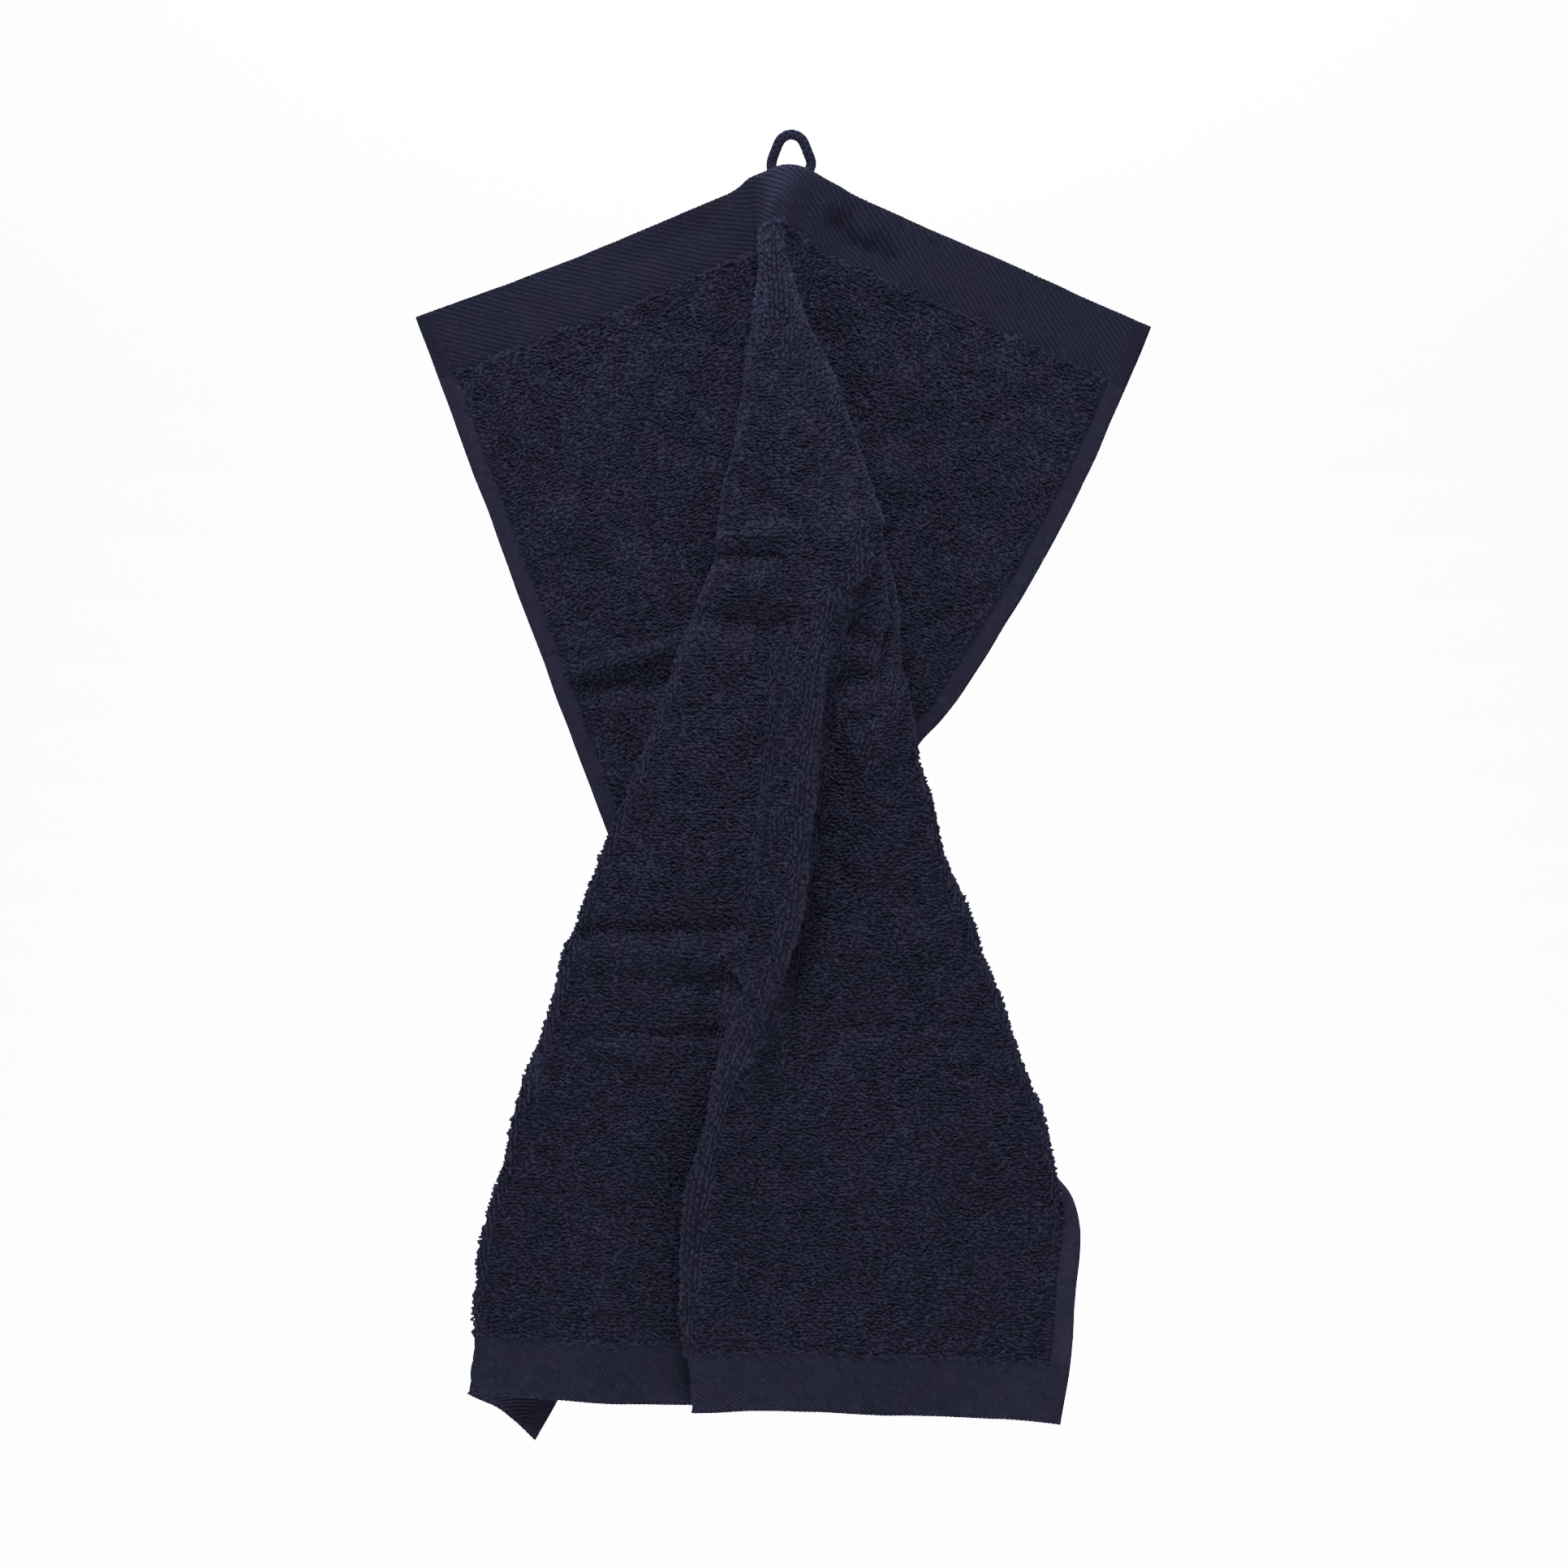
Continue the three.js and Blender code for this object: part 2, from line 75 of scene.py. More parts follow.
# The fold lines of the cloth, left to right, in millimetres. down and across place a section in the flat
# cloth, from the top edge and from the middle; right, back and up are where it hangs. cells is how many cells
# of the first grid reach to the next line, and hold is the share of the way back to its own place that the
# line goes in each round of evening.
SECTION_COLUMNS = ("down", "across", "right", "back", "up")
FOLD_LINES = {
    "left_hem": dict(cells=5, hold=0.25, sections=[
        (0, -200, -180.7, 36.5, -80.3), (100, -200, -146, 34, -175), (200, -200, -111.1, 30, -269),
        (261, -200, -89, 27, -327.3), (330, -200, -65.3, 25, -390.8), (390, -200, -43.7, 21.8, -448.7),
        (430, -200, -40.5, 17, -478.2), (480, -200, -61.5, 11.9, -514.1), (540, -200, -93.6, 13, -568.7),
        (600, -200, -121.8, 14, -619),
    ]),
    "left_wing": dict(cells=6, hold=0.05, sections=[
        (0, -105, -95.5, 22, -52.5), (100, -127, -79.5, 20, -148), (200, -151, -66.5, 19, -251),
        (300, -174, -52, 20, -352), (380, -188, -41, 19, -435), (430, -190, -50, 17, -470),
        (480, -190, -69, 12, -508), (540, -190, -100, 13, -561), (600, -190, -129, 14, -611),
    ]),
    "left_tuck": dict(cells=7, hold=0.08, sections=[
        (0, -24.5, -23.5, 0.5, -23.4), (30, -24, -9, -2, -47), (63, -38, -11.5, -0.5, -85),
        (100, -54, -12, 3, -125), (150, -78, -15, 4, -181), (200, -99, -18, 5, -235),
        (300, -148, -31, 6, -345), (380, -178, -43, 12, -424), (430, -180, -59, 14, -463),
        (480, -180, -78, 11, -501), (540, -180, -107, 13, -553), (600, -180, -138, 14, -603),
    ]),
    "left_fold": dict(cells=5, hold=0.3, sections=[
        (0, -13, -13.3, -3.8, -18.4), (30, -12, -12.7, -12, -40.9), (63, -20, -14.3, -14, -73.8),
        (100, -27, -19.6, -16, -105.4), (150, -41, -28.1, -14.5, -154.9), (200, -56, -38.7, -15.8, -205.1),
        (250, -68, -58.6, -14.7, -252.8), (300, -80, -77.4, -13.9, -302.8), (350, -94, -100, -10.9, -350.8),
        (400, -107, -118, -7.7, -400), (450, -119, -131.7, -4, -449.5), (500, -133, -145.6, -2.4, -496.2),
        (540, -144, -154.7, -0.5, -535.2), (570, -151, -153.8, 0.6, -564.7), (600, -158, -154.5, 2, -593.3),
    ]),
    "left_swell": dict(cells=5, hold=0.05, sections=[
        (0, -8, -8.8, -5.2, -15.4), (30, -8, -13.3, -16.4, -40.5), (63, -12, -15.3, -22.4, -73),
        (100, -14, -17.9, -28.7, -107), (150, -24, -25.2, -29, -156), (200, -37, -29.5, -32.3, -206),
        (250, -42, -35.2, -28.6, -254.5), (300, -46, -41.3, -25.6, -304), (350, -54, -54.4, -21.6, -353),
        (400, -62, -70.1, -16.6, -402), (450, -72, -83.2, -11.3, -452), (500, -82, -93.5, -9.4, -499),
        (550, -92, -98.5, -8.5, -549), (600, -98, -96.9, -10, -597.5),
    ]),
    "left_dip": dict(cells=2, hold=0.15, sections=[
        (0, -5, -6.2, -6.4, -13.4), (30, -5, -12.8, -20.2, -40), (63, -6, -12.9, -27.7, -72.5),
        (100, -5, -11.2, -34.1, -107), (150, -10, -12.7, -37.2, -156), (200, -15, -9.2, -40.2, -206),
        (250, -13, -5.4, -34.1, -255), (300, -12, -9.2, -27.1, -305), (350, -15, -14.7, -22.8, -354),
        (400, -20, -31.1, -13.6, -404), (450, -17, -32, -8.5, -453), (500, -22, -33.5, -4, -502),
        (550, -25, -33.5, -1, -552), (600, -18, -21.5, 4.5, -600.3),
    ]),
    "left_turn": dict(cells=2, hold=0.2, sections=[
        (0, -3.5, -4.2, -6.7, -13), (30, -3.5, -11.2, -20.4, -39.6), (63, -3.5, -10.8, -28.6, -72.2),
        (100, -1.5, -7.8, -35, -107), (150, -4.5, -6.5, -39.5, -156), (200, -9, -4, -42.3, -206),
        (250, -7, -4.5, -40, -255), (300, -5, -8.5, -36, -305), (350, -7.5, -14.5, -30, -354.5),
        (400, -10, -27, -22.5, -404), (450, -8, -29, -15.5, -453), (500, -11, -31, -11.5, -502.5),
        (550, -13, -32, -8.5, -552.5), (600, -6, -19.5, -4, -601),
    ]),
    "ridge_left": dict(cells=4, hold=0.3, sections=[
        (0, -2, -2.2, -7.1, -12.6), (30, -2, -12.1, -22.6, -39.3), (63, -1, -9.3, -30.1, -72),
        (100, 2, -4.5, -36.5, -107), (150, 1, -1, -41.4, -156), (200, -3, 2, -44.6, -206),
        (250, -1, -1.9, -44.9, -255), (300, 2, -6.4, -43.3, -305), (350, 0, -10.4, -36.6, -355),
        (400, -2, -25.3, -30.6, -404), (450, 5, -39.5, -24.5, -453), (500, 5, -49.5, -19, -503),
        (550, 6, -53.5, -14.5, -553), (570, 10, -52, -12.5, -573), (600, 19, -49, -9.5, -602.5),
    ]),
    "ridge_right": dict(cells=4, hold=0.3, sections=[
        (0, 1.5, 1.3, -6.9, -12.5), (30, 1.5, -9.3, -25.2, -39), (63, 4, -4.3, -30.1, -72),
        (100, 9, 2.7, -37.4, -107), (150, 13, 11.1, -42.7, -156), (200, 12, 16.9, -46.9, -206),
        (250, 14, 13.8, -49.4, -255), (300, 17, 10.2, -49.3, -305), (350, 15, 6, -45.3, -355),
        (400, 13, -8, -40.2, -404), (450, 14, -34.4, -33.2, -453), (500, 17, -44.3, -28.3, -503),
        (550, 17, -48.5, -21.6, -553), (570, 20, -46.2, -19.4, -573), (600, 25, -42.1, -16.3, -602),
    ]),
    "right_dip": dict(cells=4, hold=0.15, sections=[
        (0, 5, 4.7, -6.5, -13), (30, 5, -6, -21.8, -39.3), (63, 9, -0.8, -26.5, -72.5),
        (100, 17, 10.8, -35, -107), (150, 26, 23.4, -38.4, -156), (200, 29, 33.9, -43.9, -206),
        (250, 36, 17.1, -23.8, -255), (300, 46, 8.2, -15.4, -305), (350, 47, 4.8, -8, -355),
        (400, 45, -6.5, -4.1, -404), (450, 50, -4.7, -9.9, -454), (500, 52, -11.3, -15.1, -504),
        (550, 50, -13.3, -15.5, -553), (600, 53, -13.8, -14.2, -599.5),
    ]),
    "right_swell": dict(cells=5, hold=0.05, sections=[
        (0, 9.5, 8.7, -5.1, -15.2), (30, 9.5, -4, -16.9, -39.9), (63, 16, -0.1, -20.2, -73.8),
        (100, 27, 17.1, -28, -106.4), (150, 40, 32.9, -28.2, -155.8), (200, 50, 45.7, -30.3, -206.3),
        (250, 64, 45.3, -34, -254.4), (300, 82, 44.8, -29, -304.3), (350, 92, 47.9, -23.2, -354.7),
        (400, 98, 48.8, -21.5, -404.7), (450, 112, 56.1, -19, -456), (500, 122, 60.3, -17.9, -505.9),
        (550, 120, 54, -16.5, -556.6), (600, 123, 56.3, -19, -600.1),
    ]),
    "right_fold": dict(cells=6, hold=0.3, sections=[
        (0, 15, 13.9, -3, -17.8), (30, 15, -5.8, -11.8, -42), (63, 24, -5.7, -12.4, -74.7),
        (100, 38, 17.5, -17, -106.4), (150, 56, 34.2, -12.6, -157.3), (200, 72, 46.1, -9.2, -207.4),
        (250, 85, 54.9, -12.6, -256.3), (300, 105, 67.3, -13, -307.8), (350, 126, 84.3, -9.1, -356.5),
        (400, 150, 102.6, -6.2, -407.7), (450, 177, 121.6, -5.6, -458.6), (475, 188, 130.6, -3.9, -483.2),
        (497, 193, 133.4, -1.2, -506.6), (520, 191.5, 129.4, -0.3, -529.9), (600, 191, 118.9, 2, -608.5),
    ]),
    "right_tuck": dict(cells=5, hold=0.2, sections=[
        (0, 28, 25.2, 1, -23.2), (30, 28, 6.4, -3, -49.5), (63, 42, 2.4, 2.8, -84.6),
        (100, 65, 10.3, 6.7, -122), (150, 93, 9.8, 8, -178.6), (200, 120, 8.6, 9, -231.3),
        (250, 148, 4, 11, -283), (300, 171, 8, 10.5, -328), (330, 177, 27, 9, -349),
        (350, 179, 39, 8, -366), (400, 181, 76, 7, -411), (450, 188, 109, 3.5, -460),
        (475, 194, 124.3, 2.3, -486), (497, 195.5, 134.4, -0.6, -506.5), (520, 194.5, 130.7, 1, -529.9),
        (600, 194, 122, 3, -609.3),
    ]),
    "right_wing": dict(cells=4, hold=0.05, sections=[
        (0, 105, 93.6, 20.3, -53.3), (100, 134, 74.4, 21.1, -148.7), (200, 164, 50, 19, -248.3),
        (250, 180, 36.5, 19, -295), (300, 191, 26, 16.7, -340.3), (330, 192, 36, 14.3, -364),
        (350, 192.5, 47, 12.8, -379.5), (400, 193, 78.5, 9.8, -422), (450, 195, 108.5, 6.4, -466),
        (475, 197, 123.4, 3.6, -488), (497, 197.8, 137.8, -0.1, -506.9), (520, 197.8, 132.4, 2.3, -529.9),
        (600, 197.5, 125.2, 4, -610),
    ]),
    "right_hem": dict(cells=0, hold=0.25, sections=[
        (0, 200, 172.5, 38, -84.6), (50, 200, 153.7, 36, -131.4), (100, 200, 133.2, 34, -177),
        (150, 200, 108.8, 31, -220.5), (200, 200, 82.5, 27, -261.7), (214, 200, 75, 25.5, -274.9),
        (222, 200, 69.7, 24.2, -280.9), (230, 200, 58.3, 24, -282.4), (250, 200, 56, 22.5, -300.5),
        (311, 200, 28, 19, -357), (330, 200, 39.5, 17.3, -372), (360, 200, 57, 14.4, -396),
        (400, 200, 80.3, 10.8, -428.7), (450, 200, 109.3, 6.8, -469.4), (475, 200, 123.8, 4.4, -489.6),
        (497, 200, 138.6, 1.2, -507.2), (540, 200, 135.1, 3, -549.9), (570, 200, 135, 4, -580.7),
        (600, 200, 127.6, 4.5, -610.7),
    ]),
}

# Soft creases from packing and soft bumps, in millimetres: the two ends in the flat cloth as (across, down),
# the height over the cloth (below zero is a trough) and how far it fades to either side.
CREASES = {
    "left wing fold": ((-189, 187), (-141, 193), 3.6, 4.0),
    "left wing trough": ((-184, 197), (-147, 208), -4.2, 6.0),
    "flap fold": ((-40, 186), (-5, 182), 2.9, 4.0),
    "flap trough": ((-49, 192), (-10, 195), -2.7, 4.6),
    "flap knuckle": ((-24, 205), (-20, 206), 3.5, 5.0),
    "flap hollow": ((-46, 224), (-11, 226), -5.8, 9.0),
    "right hump": ((16, 212), (30, 197), 4.5, 9.0),
    "right upper hump": ((28, 183), (42, 176), 3.0, 9.0),
    "right hollow": ((38, 228), (57, 236), -5.0, 7.5),
    "right lower hollow": ((48, 253), (61, 250), -4.8, 8.0),
    "left panel trough": ((-91, 374), (-18, 370), -3.3, 5.0),
    "left panel fold": ((-91, 386), (-15, 382), 4.2, 6.0),
    "left panel lower trough": ((-44, 397), (-9, 396), -2.2, 5.0),
    "roll crease": ((-15, 392), (7, 405), -2.8, 3.2),
    "left lower trough": ((-90, 423), (-17, 420), -2.6, 4.0),
    "left lower fold": ((-80, 430), (-54, 429), 2.2, 5.0),
    "right panel fold": ((80, 375), (104, 374), 3.5, 8.0),
    "right upper patch": ((66, 283), (70, 288), 3.0, 9.0),
    "right middle patch": ((75, 336), (78, 342), 2.5, 9.0),
    "right lower trough": ((76, 416), (134, 413), -1.8, 4.0),
    "right lower fold": ((116, 427), (140, 427), 1.8, 4.0),
    "right band dent": ((36, 16), (43, 23), -6.5, 6.0),
    "right band hollow": ((54, 19), (62, 22), -6.5, 6.5),
    "right band bump": ((47, 13), (49, 17), 3.2, 4.0),
    "left band dent": ((-92, 12), (-52, 9), -3.0, 6.0),
    "lower right swell": ((16, 498), (28, 545), 2.4, 12.0),
    "lower left hollow": ((-10, 470), (-8, 560), -1.6, 9.0),
}

# Slow unevenness of hanging cloth: waves across and down the flat cloth, in millimetres.
WAVES = [
    dict(height=0.55, across_length=96, down_length=61, shift=0.4),
    dict(height=0.40, across_length=-47, down_length=83, shift=1.9),
    dict(height=0.28, across_length=31, down_length=-38, shift=4.1),
    dict(height=0.18, across_length=19, down_length=27, shift=2.7),
]

# The first grid and the evening of its weave. Pulls and bends are shares of a full move in each round, rows
# lie apart by so many widths while they are interpolated, and the map's step is in millimetres.
FIRST_ROWS = 45
ROWS_APART = 4
EVEN_COLUMNS = 0.25
ROUNDING_PASSES = 2
EVENING_ROUNDS = 160
THREAD_PULL = 0.45
BIAS_PULL = 0.12
BEND_ACROSS = 0.05
BEND_DOWN = 0.35
REFINE = 5
MAP_STEP = 1.0

# The photograph's view: the camera looks level along +Y at the middle of the picture
PHOTO_SIDE_PX = 1932
PHOTO_MM_PER_PX = 0.385
CROWN_PX = (975, 172)
CAMERA_DISTANCE = 2.2
SENSOR_WIDTH_MM = 36.0
CAMERA_CLIP = (0.05, 50.0)


def mm(value):
    """Millimetres to metres."""
    return value * MM


def length_property(name, default, description):
    """A length in metres that the sidebar shows."""
    return bpy.props.FloatProperty(name=name, description=description, default=default, unit="LENGTH")


def colour_property(name, default, description):
    """A yarn's colour, as linear values, that the sidebar shows."""
    return bpy.props.FloatVectorProperty(
        name=name, description=description, default=default, size=3, subtype="COLOR")


class TowelSizes(bpy.types.PropertyGroup):
    """Sizes of the towel's cloth, pile and cord."""

    width: length_property("Width", 0.4, "Width of the flat towel")
    length: length_property("Length", 0.6, "Length of the flat towel")
    top_band: length_property("Top band", 0.032, "Depth of the woven band at the top")
    bottom_band: length_property("Bottom band", 0.029, "Depth of the woven band at the bottom")
    side_hem: length_property("Side hem", 0.009, "Width of the turned side hems")
    band_thickness: length_property("Band thickness", 0.0018, "Thickness of bands and hems")
    ground_thickness: length_property("Ground thickness", 0.0014, "Thickness of the cloth under the pile")
    pile_height: length_property("Pile height", 0.0014, "How far the loops stand out")
    pile_pitch: length_property("Pile pitch", 0.00205, "Distance between loops across the towel")
    cord_diameter: length_property("Cord diameter", 0.0048, "Thickness of the loop's cord")
    stitch_length: length_property("Stitch length", 0.0028, "Length of one hem stitch")


class TowelColours(bpy.types.PropertyGroup):
    """Colours of the yarns, as linear values; the pile roots' colour is painted shade between the loops."""

    pile_tip: colour_property("Pile tips", (0.0128, 0.0118, 0.0217), "Colour where the loops catch light")
    # Painted shade: the dark colour between the loops, also on the ground under the pile
    pile_root_shade: colour_property("Pile roots", (0.0039, 0.0037, 0.0063), "Colour between the loops")
    band: colour_property("Bands", (0.0064, 0.0059, 0.0107), "Colour of the woven bands")
    hem: colour_property("Side hems", (0.0094, 0.0080, 0.0152), "Colour of the turned side hems")
    cord: colour_property("Cord", (0.0049, 0.0046, 0.0089), "Colour of the loop's cord")


def curve_through(knots, values, at):
    """Smooth curve through the knots: cubics whose slopes are the length-weighted mean of both sides."""
    gaps = np.diff(knots)
    steep = np.diff(values) / gaps
    slopes = np.concatenate([
        steep[:1],
        (steep[:-1] * gaps[1:] + steep[1:] * gaps[:-1]) / (gaps[1:] + gaps[:-1]),
        steep[-1:],
    ])
    k = np.clip(np.searchsorted(knots, at, side="right") - 1, 0, len(knots) - 2)
    t = (at - knots[k]) / gaps[k]
    start = 2 * t**3 - 3 * t**2 + 1
    return (
        start * values[k]
        + (1 - start) * values[k + 1]
        + gaps[k] * ((t**3 - 2 * t**2 + t) * slopes[k] + (t**3 - t**2) * slopes[k + 1])
    )


def along_rows(wanted, known, values, width):
    """Interpolates all rows of a grid in one call, as stretches of one line that lie well apart."""
    shift = np.arange(len(known))[:, None] * ROWS_APART * width
    return np.stack([
        np.interp((wanted + shift).ravel(), (known + shift).ravel(), values[..., c].ravel())
        .reshape(len(known), -1)
        for c in range(3)
    ], -1)


def first_grid(width, length):
    """The grid before evening: each row runs straight from fold line to fold line, and then is rounded.

    Returns across (rows, columns), down (rows), place (rows, columns, 3) and hold (rows, columns).
    """
    down = np.linspace(0, length, FIRST_ROWS)
    lines = list(FOLD_LINES.values())
    tables = [dict(zip(SECTION_COLUMNS, np.array(line["sections"], float).T)) for line in lines]
    knots = np.stack([
        np.stack([curve_through(table["down"], table[key], down) for key in SECTION_COLUMNS[1:]], -1)
        for table in tables
    ], 1)
    cells = [line["cells"] for line in lines[:-1]]
    at = np.concatenate([k + np.arange(n) / n for k, n in enumerate(cells)] + [[len(cells)]])
    k = np.minimum(at.astype(int), len(cells) - 1)
    t = at - k
    along = knots[:, k, 0] * (1 - t) + knots[:, k + 1, 0] * t
    hold = np.interp(at, np.arange(len(lines)), [line["hold"] for line in lines])
    even = np.linspace(-width / 2, width / 2, len(at))
    across = along * (1 - EVEN_COLUMNS) + even * EVEN_COLUMNS
    place = along_rows(across, knots[..., 0], knots[..., 1:], width)
    for _ in range(ROUNDING_PASSES):
        place[:, 1:-1] = 0.25 * (place[:, :-2] + place[:, 2:]) + 0.5 * place[:, 1:-1]
    return across, down, place, np.broadcast_to(hold, across.shape)


def rest_length(across, down, a, b):
    """Distance in the flat cloth between two slices of the grid."""
    return np.hypot(across[a] - across[b], down[a] - down[b])[..., None]


def pull_threads(place, a, b, rest, strength):
    """Moves both ends of every thread piece between slices a and b a share of the way to its own length."""
    gap = place[b] - place[a]
    length = np.maximum(np.linalg.norm(gap, axis=-1, keepdims=True), TINY)
    move = 0.5 * strength * (length - rest) / length * gap
    place[a] += move
    place[b] -= move


def pairs(count, first):
    """Two slices of count rows or columns: every second one from first, and the one after each."""
    reach = 2 * ((count - first) // 2)
    return slice(first, first + reach, 2), slice(first + 1, first + 1 + reach, 2)


def even_weave(across, down, place, hold):
    """Threads go back to their own length in turns, while the fold lines keep their place and bends ease."""
    flat_down = np.broadcast_to(down[:, None], across.shape)
    laid = place.copy()
    rows, columns = across.shape
    whole, all_but_last, all_but_first = slice(None), slice(0, -1), slice(1, None)
    pieces = []
    for first in (0, 1):
        (left, right), (upper, lower) = pairs(columns, first), pairs(rows, first)
        pieces += [
            ((whole, left), (whole, right), THREAD_PULL),
            ((upper, whole), (lower, whole), THREAD_PULL),
            ((upper, all_but_last), (lower, all_but_first), BIAS_PULL),
            ((upper, all_but_first), (lower, all_but_last), BIAS_PULL),
        ]
    rests = [rest_length(across, flat_down, a, b) for a, b, _ in pieces]
    steps = np.diff(across, axis=1)
    share = (steps[:, :-1] / (steps[:, :-1] + steps[:, 1:]))[..., None]
    for _ in range(EVENING_ROUNDS):
        place += hold[..., None] * (laid - place)
        sideways = place[:, :-2] * (1 - share) + place[:, 2:] * share
        place[:, 1:-1] += BEND_ACROSS * (sideways - place[:, 1:-1])
        place[1:-1] += BEND_DOWN * (0.5 * (place[:-2] + place[2:]) - place[1:-1])
        for (a, b, strength), rest in zip(pieces, rests):
            pull_threads(place, a, b, rest, strength)
    return place


def refine(values, times, axis):
    """Catmull-Rom refinement along one axis: each cell becomes times cells on the smooth curve."""
    v = np.moveaxis(values, axis, 0)
    padded = np.concatenate([2 * v[:1] - v[1:2], v, 2 * v[-1:] - v[-2:-1]])
    at = np.linspace(0, len(v) - 1, (len(v) - 1) * times + 1)
    k = np.minimum(at.astype(int), len(v) - 2)
    t = (at - k).reshape((-1,) + (1,) * (v.ndim - 1))
    a, b, c, d = (padded[k + n] for n in range(4))
    out = b + 0.5 * t * (c - a + t * (2 * a - 5 * b + 4 * c - d + t * (3 * (b - c) + d - a)))
    return np.moveaxis(out, 0, axis)


def crease_height(across, down):
    """Sum of the soft creases: each is a bell across its line that also fades past the line's ends."""
    total = np.zeros(np.broadcast(across, down).shape)
    for (a0, d0), (a1, d1), height, reach in CREASES.values():
        span = math.hypot(a1 - a0, d1 - d0)
        ua, ud = (a1 - a0) / span, (d1 - d0) / span
        along = np.clip((across - a0) * ua + (down - d0) * ud, 0, span)
        away = np.hypot(across - a0 - along * ua, down - d0 - along * ud)
        total = total + height * np.exp(-((away / reach) ** 2))
    return total


def wave_height(across, down):
    """Sum of slow sine waves in the flat cloth."""
    return sum(
        w["height"] * np.sin(2 * np.pi * (across / w["across_length"] + down / w["down_length"]) + w["shift"])
        for w in WAVES
    )


def unit(vectors):
    """Vectors of length 1 with the same directions."""
    return vectors / np.maximum(np.linalg.norm(vectors, axis=-1, keepdims=True), TINY)


def normals_of(place):
    """Unit normals of a grid of places, towards the front: the cross product of its two directions."""
    return unit(np.cross(np.gradient(place, axis=0), np.gradient(place, axis=1)))


def mix_four(values, i0, j0, s, t):
    """Values between four points of a grid: s of a step across and t of a step down from [j0, i0]."""
    top = values[j0, i0] * (1 - s) + values[j0, i0 + 1] * s
    low = values[j0 + 1, i0] * (1 - s) + values[j0 + 1, i0 + 1] * s
    return top * (1 - t) + low * t


class ClothMap:
    """The hanging cloth as a map from the flat cloth: place and normal at any across and down, in metres."""

    def __init__(self, sizes):
        width, length = sizes.width / MM, sizes.length / MM
        across, down, place, hold = first_grid(width, length)
        place = even_weave(across, down, place, hold)
        for axis in (0, 1):
            place = refine(place, REFINE, axis)
            across = refine(across, REFINE, axis)
        self.across = np.arange(-width / 2, width / 2 + MAP_STEP / 2, MAP_STEP)
        self.down = np.arange(0, length + MAP_STEP / 2, MAP_STEP)
        even = self.even_map(across, np.linspace(0, length, len(place)), place, width)
        lift = crease_height(self.across, self.down[:, None]) + wave_height(self.across, self.down[:, None])
        even = even + normals_of(even) * lift[..., None]
        self.place = even * MM
        self.normal = normals_of(even)

    def even_map(self, across, down, place, width):
        """Samples the refined grid at even steps of across in each row, and then at even steps of down."""
        evened = along_rows(self.across, across, place, width)
        at = np.interp(self.down, down, np.arange(len(down)))
        k = np.minimum(at.astype(int), len(down) - 2)
        t = (at - k)[:, None, None]
        return evened[k] * (1 - t) + evened[k + 1] * t

    def sample(self, across, down):
        """Place and normal at points of the flat cloth, mixed from the map's four nearest points."""
        i = (np.asarray(across) / MM - self.across[0]) / MAP_STEP
        j = (np.asarray(down) / MM - self.down[0]) / MAP_STEP
        i0 = np.clip(i.astype(int), 0, len(self.across) - 2)
        j0 = np.clip(j.astype(int), 0, len(self.down) - 2)
        s, t = (i - i0)[..., None], (j - j0)[..., None]
        return mix_four(self.place, i0, j0, s, t), unit(mix_four(self.normal, i0, j0, s, t))


CLOTH = {}  # holds the cloth's map once it is worked out


def cloth_map():
    """The cloth's map, worked out once."""
    if "map" not in CLOTH:
        CLOTH["map"] = ClothMap(bpy.context.scene.towel_sizes)
    return CLOTH["map"]


def smooth_step(value, low, high):
    """Rises smoothly from 0 at low to 1 at high."""
    t = np.clip((value - low) / (high - low), 0, 1)
    return t * t * (3 - 2 * t)


def make_piece(name, points, faces, material, uv=None, attributes=None):
    """A smooth mesh object at the origin from points and equal-sized faces; maps are given by point."""
    faces = np.asarray(faces)
    corners = faces.shape[1]
    mesh = bpy.data.meshes.new(name)
    mesh.vertices.add(len(points))
    mesh.vertices.foreach_set("co", np.asarray(points, np.float32).ravel())
    mesh.loops.add(faces.size)
    mesh.loops.foreach_set("vertex_index", faces.ravel().astype(np.int32))
    mesh.polygons.add(len(faces))
    mesh.polygons.foreach_set("loop_start", np.arange(0, faces.size, corners, dtype=np.int32))
    mesh.update(calc_edges=True)
    mesh.polygons.foreach_set("use_smooth", np.full(len(faces), True))
    if uv is not None:
        layer = mesh.uv_layers.new(name=FLAT_UV)
        layer.data.foreach_set("uv", np.asarray(uv, np.float32)[faces.ravel()].ravel())
    for key, values in (attributes or {}).items():
        layer = mesh.attributes.new(name=key, type="FLOAT", domain="POINT")
        layer.data.foreach_set("value", np.asarray(values, np.float32))
    mesh.validate()
    mesh.materials.append(material)
    piece = bpy.data.objects.new(name, mesh)
    bpy.context.collection.objects.link(piece)
    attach(piece, "root")
    return piece


def grid_faces(rows, columns, first=0, turned=False):
    """Four-sided faces of a grid of points numbered row by row; turned faces look the other way."""
    corner = first + np.arange(rows - 1)[:, None] * columns + np.arange(columns - 1)
    quads = np.stack([corner, corner + columns, corner + columns + 1, corner + 1], -1).reshape(-1, 4)
    return quads[:, ::-1] if turned else quads


def ring_faces(rings, sides):
    """Four-sided faces between rings of points that are numbered ring by ring."""
    ring = np.arange(rings - 1)[:, None] * sides
    here = np.arange(sides)
    after = (here + 1) % sides
    return np.stack(
        [ring + here, ring + after, ring + sides + after, ring + sides + here], -1).reshape(-1, 4)


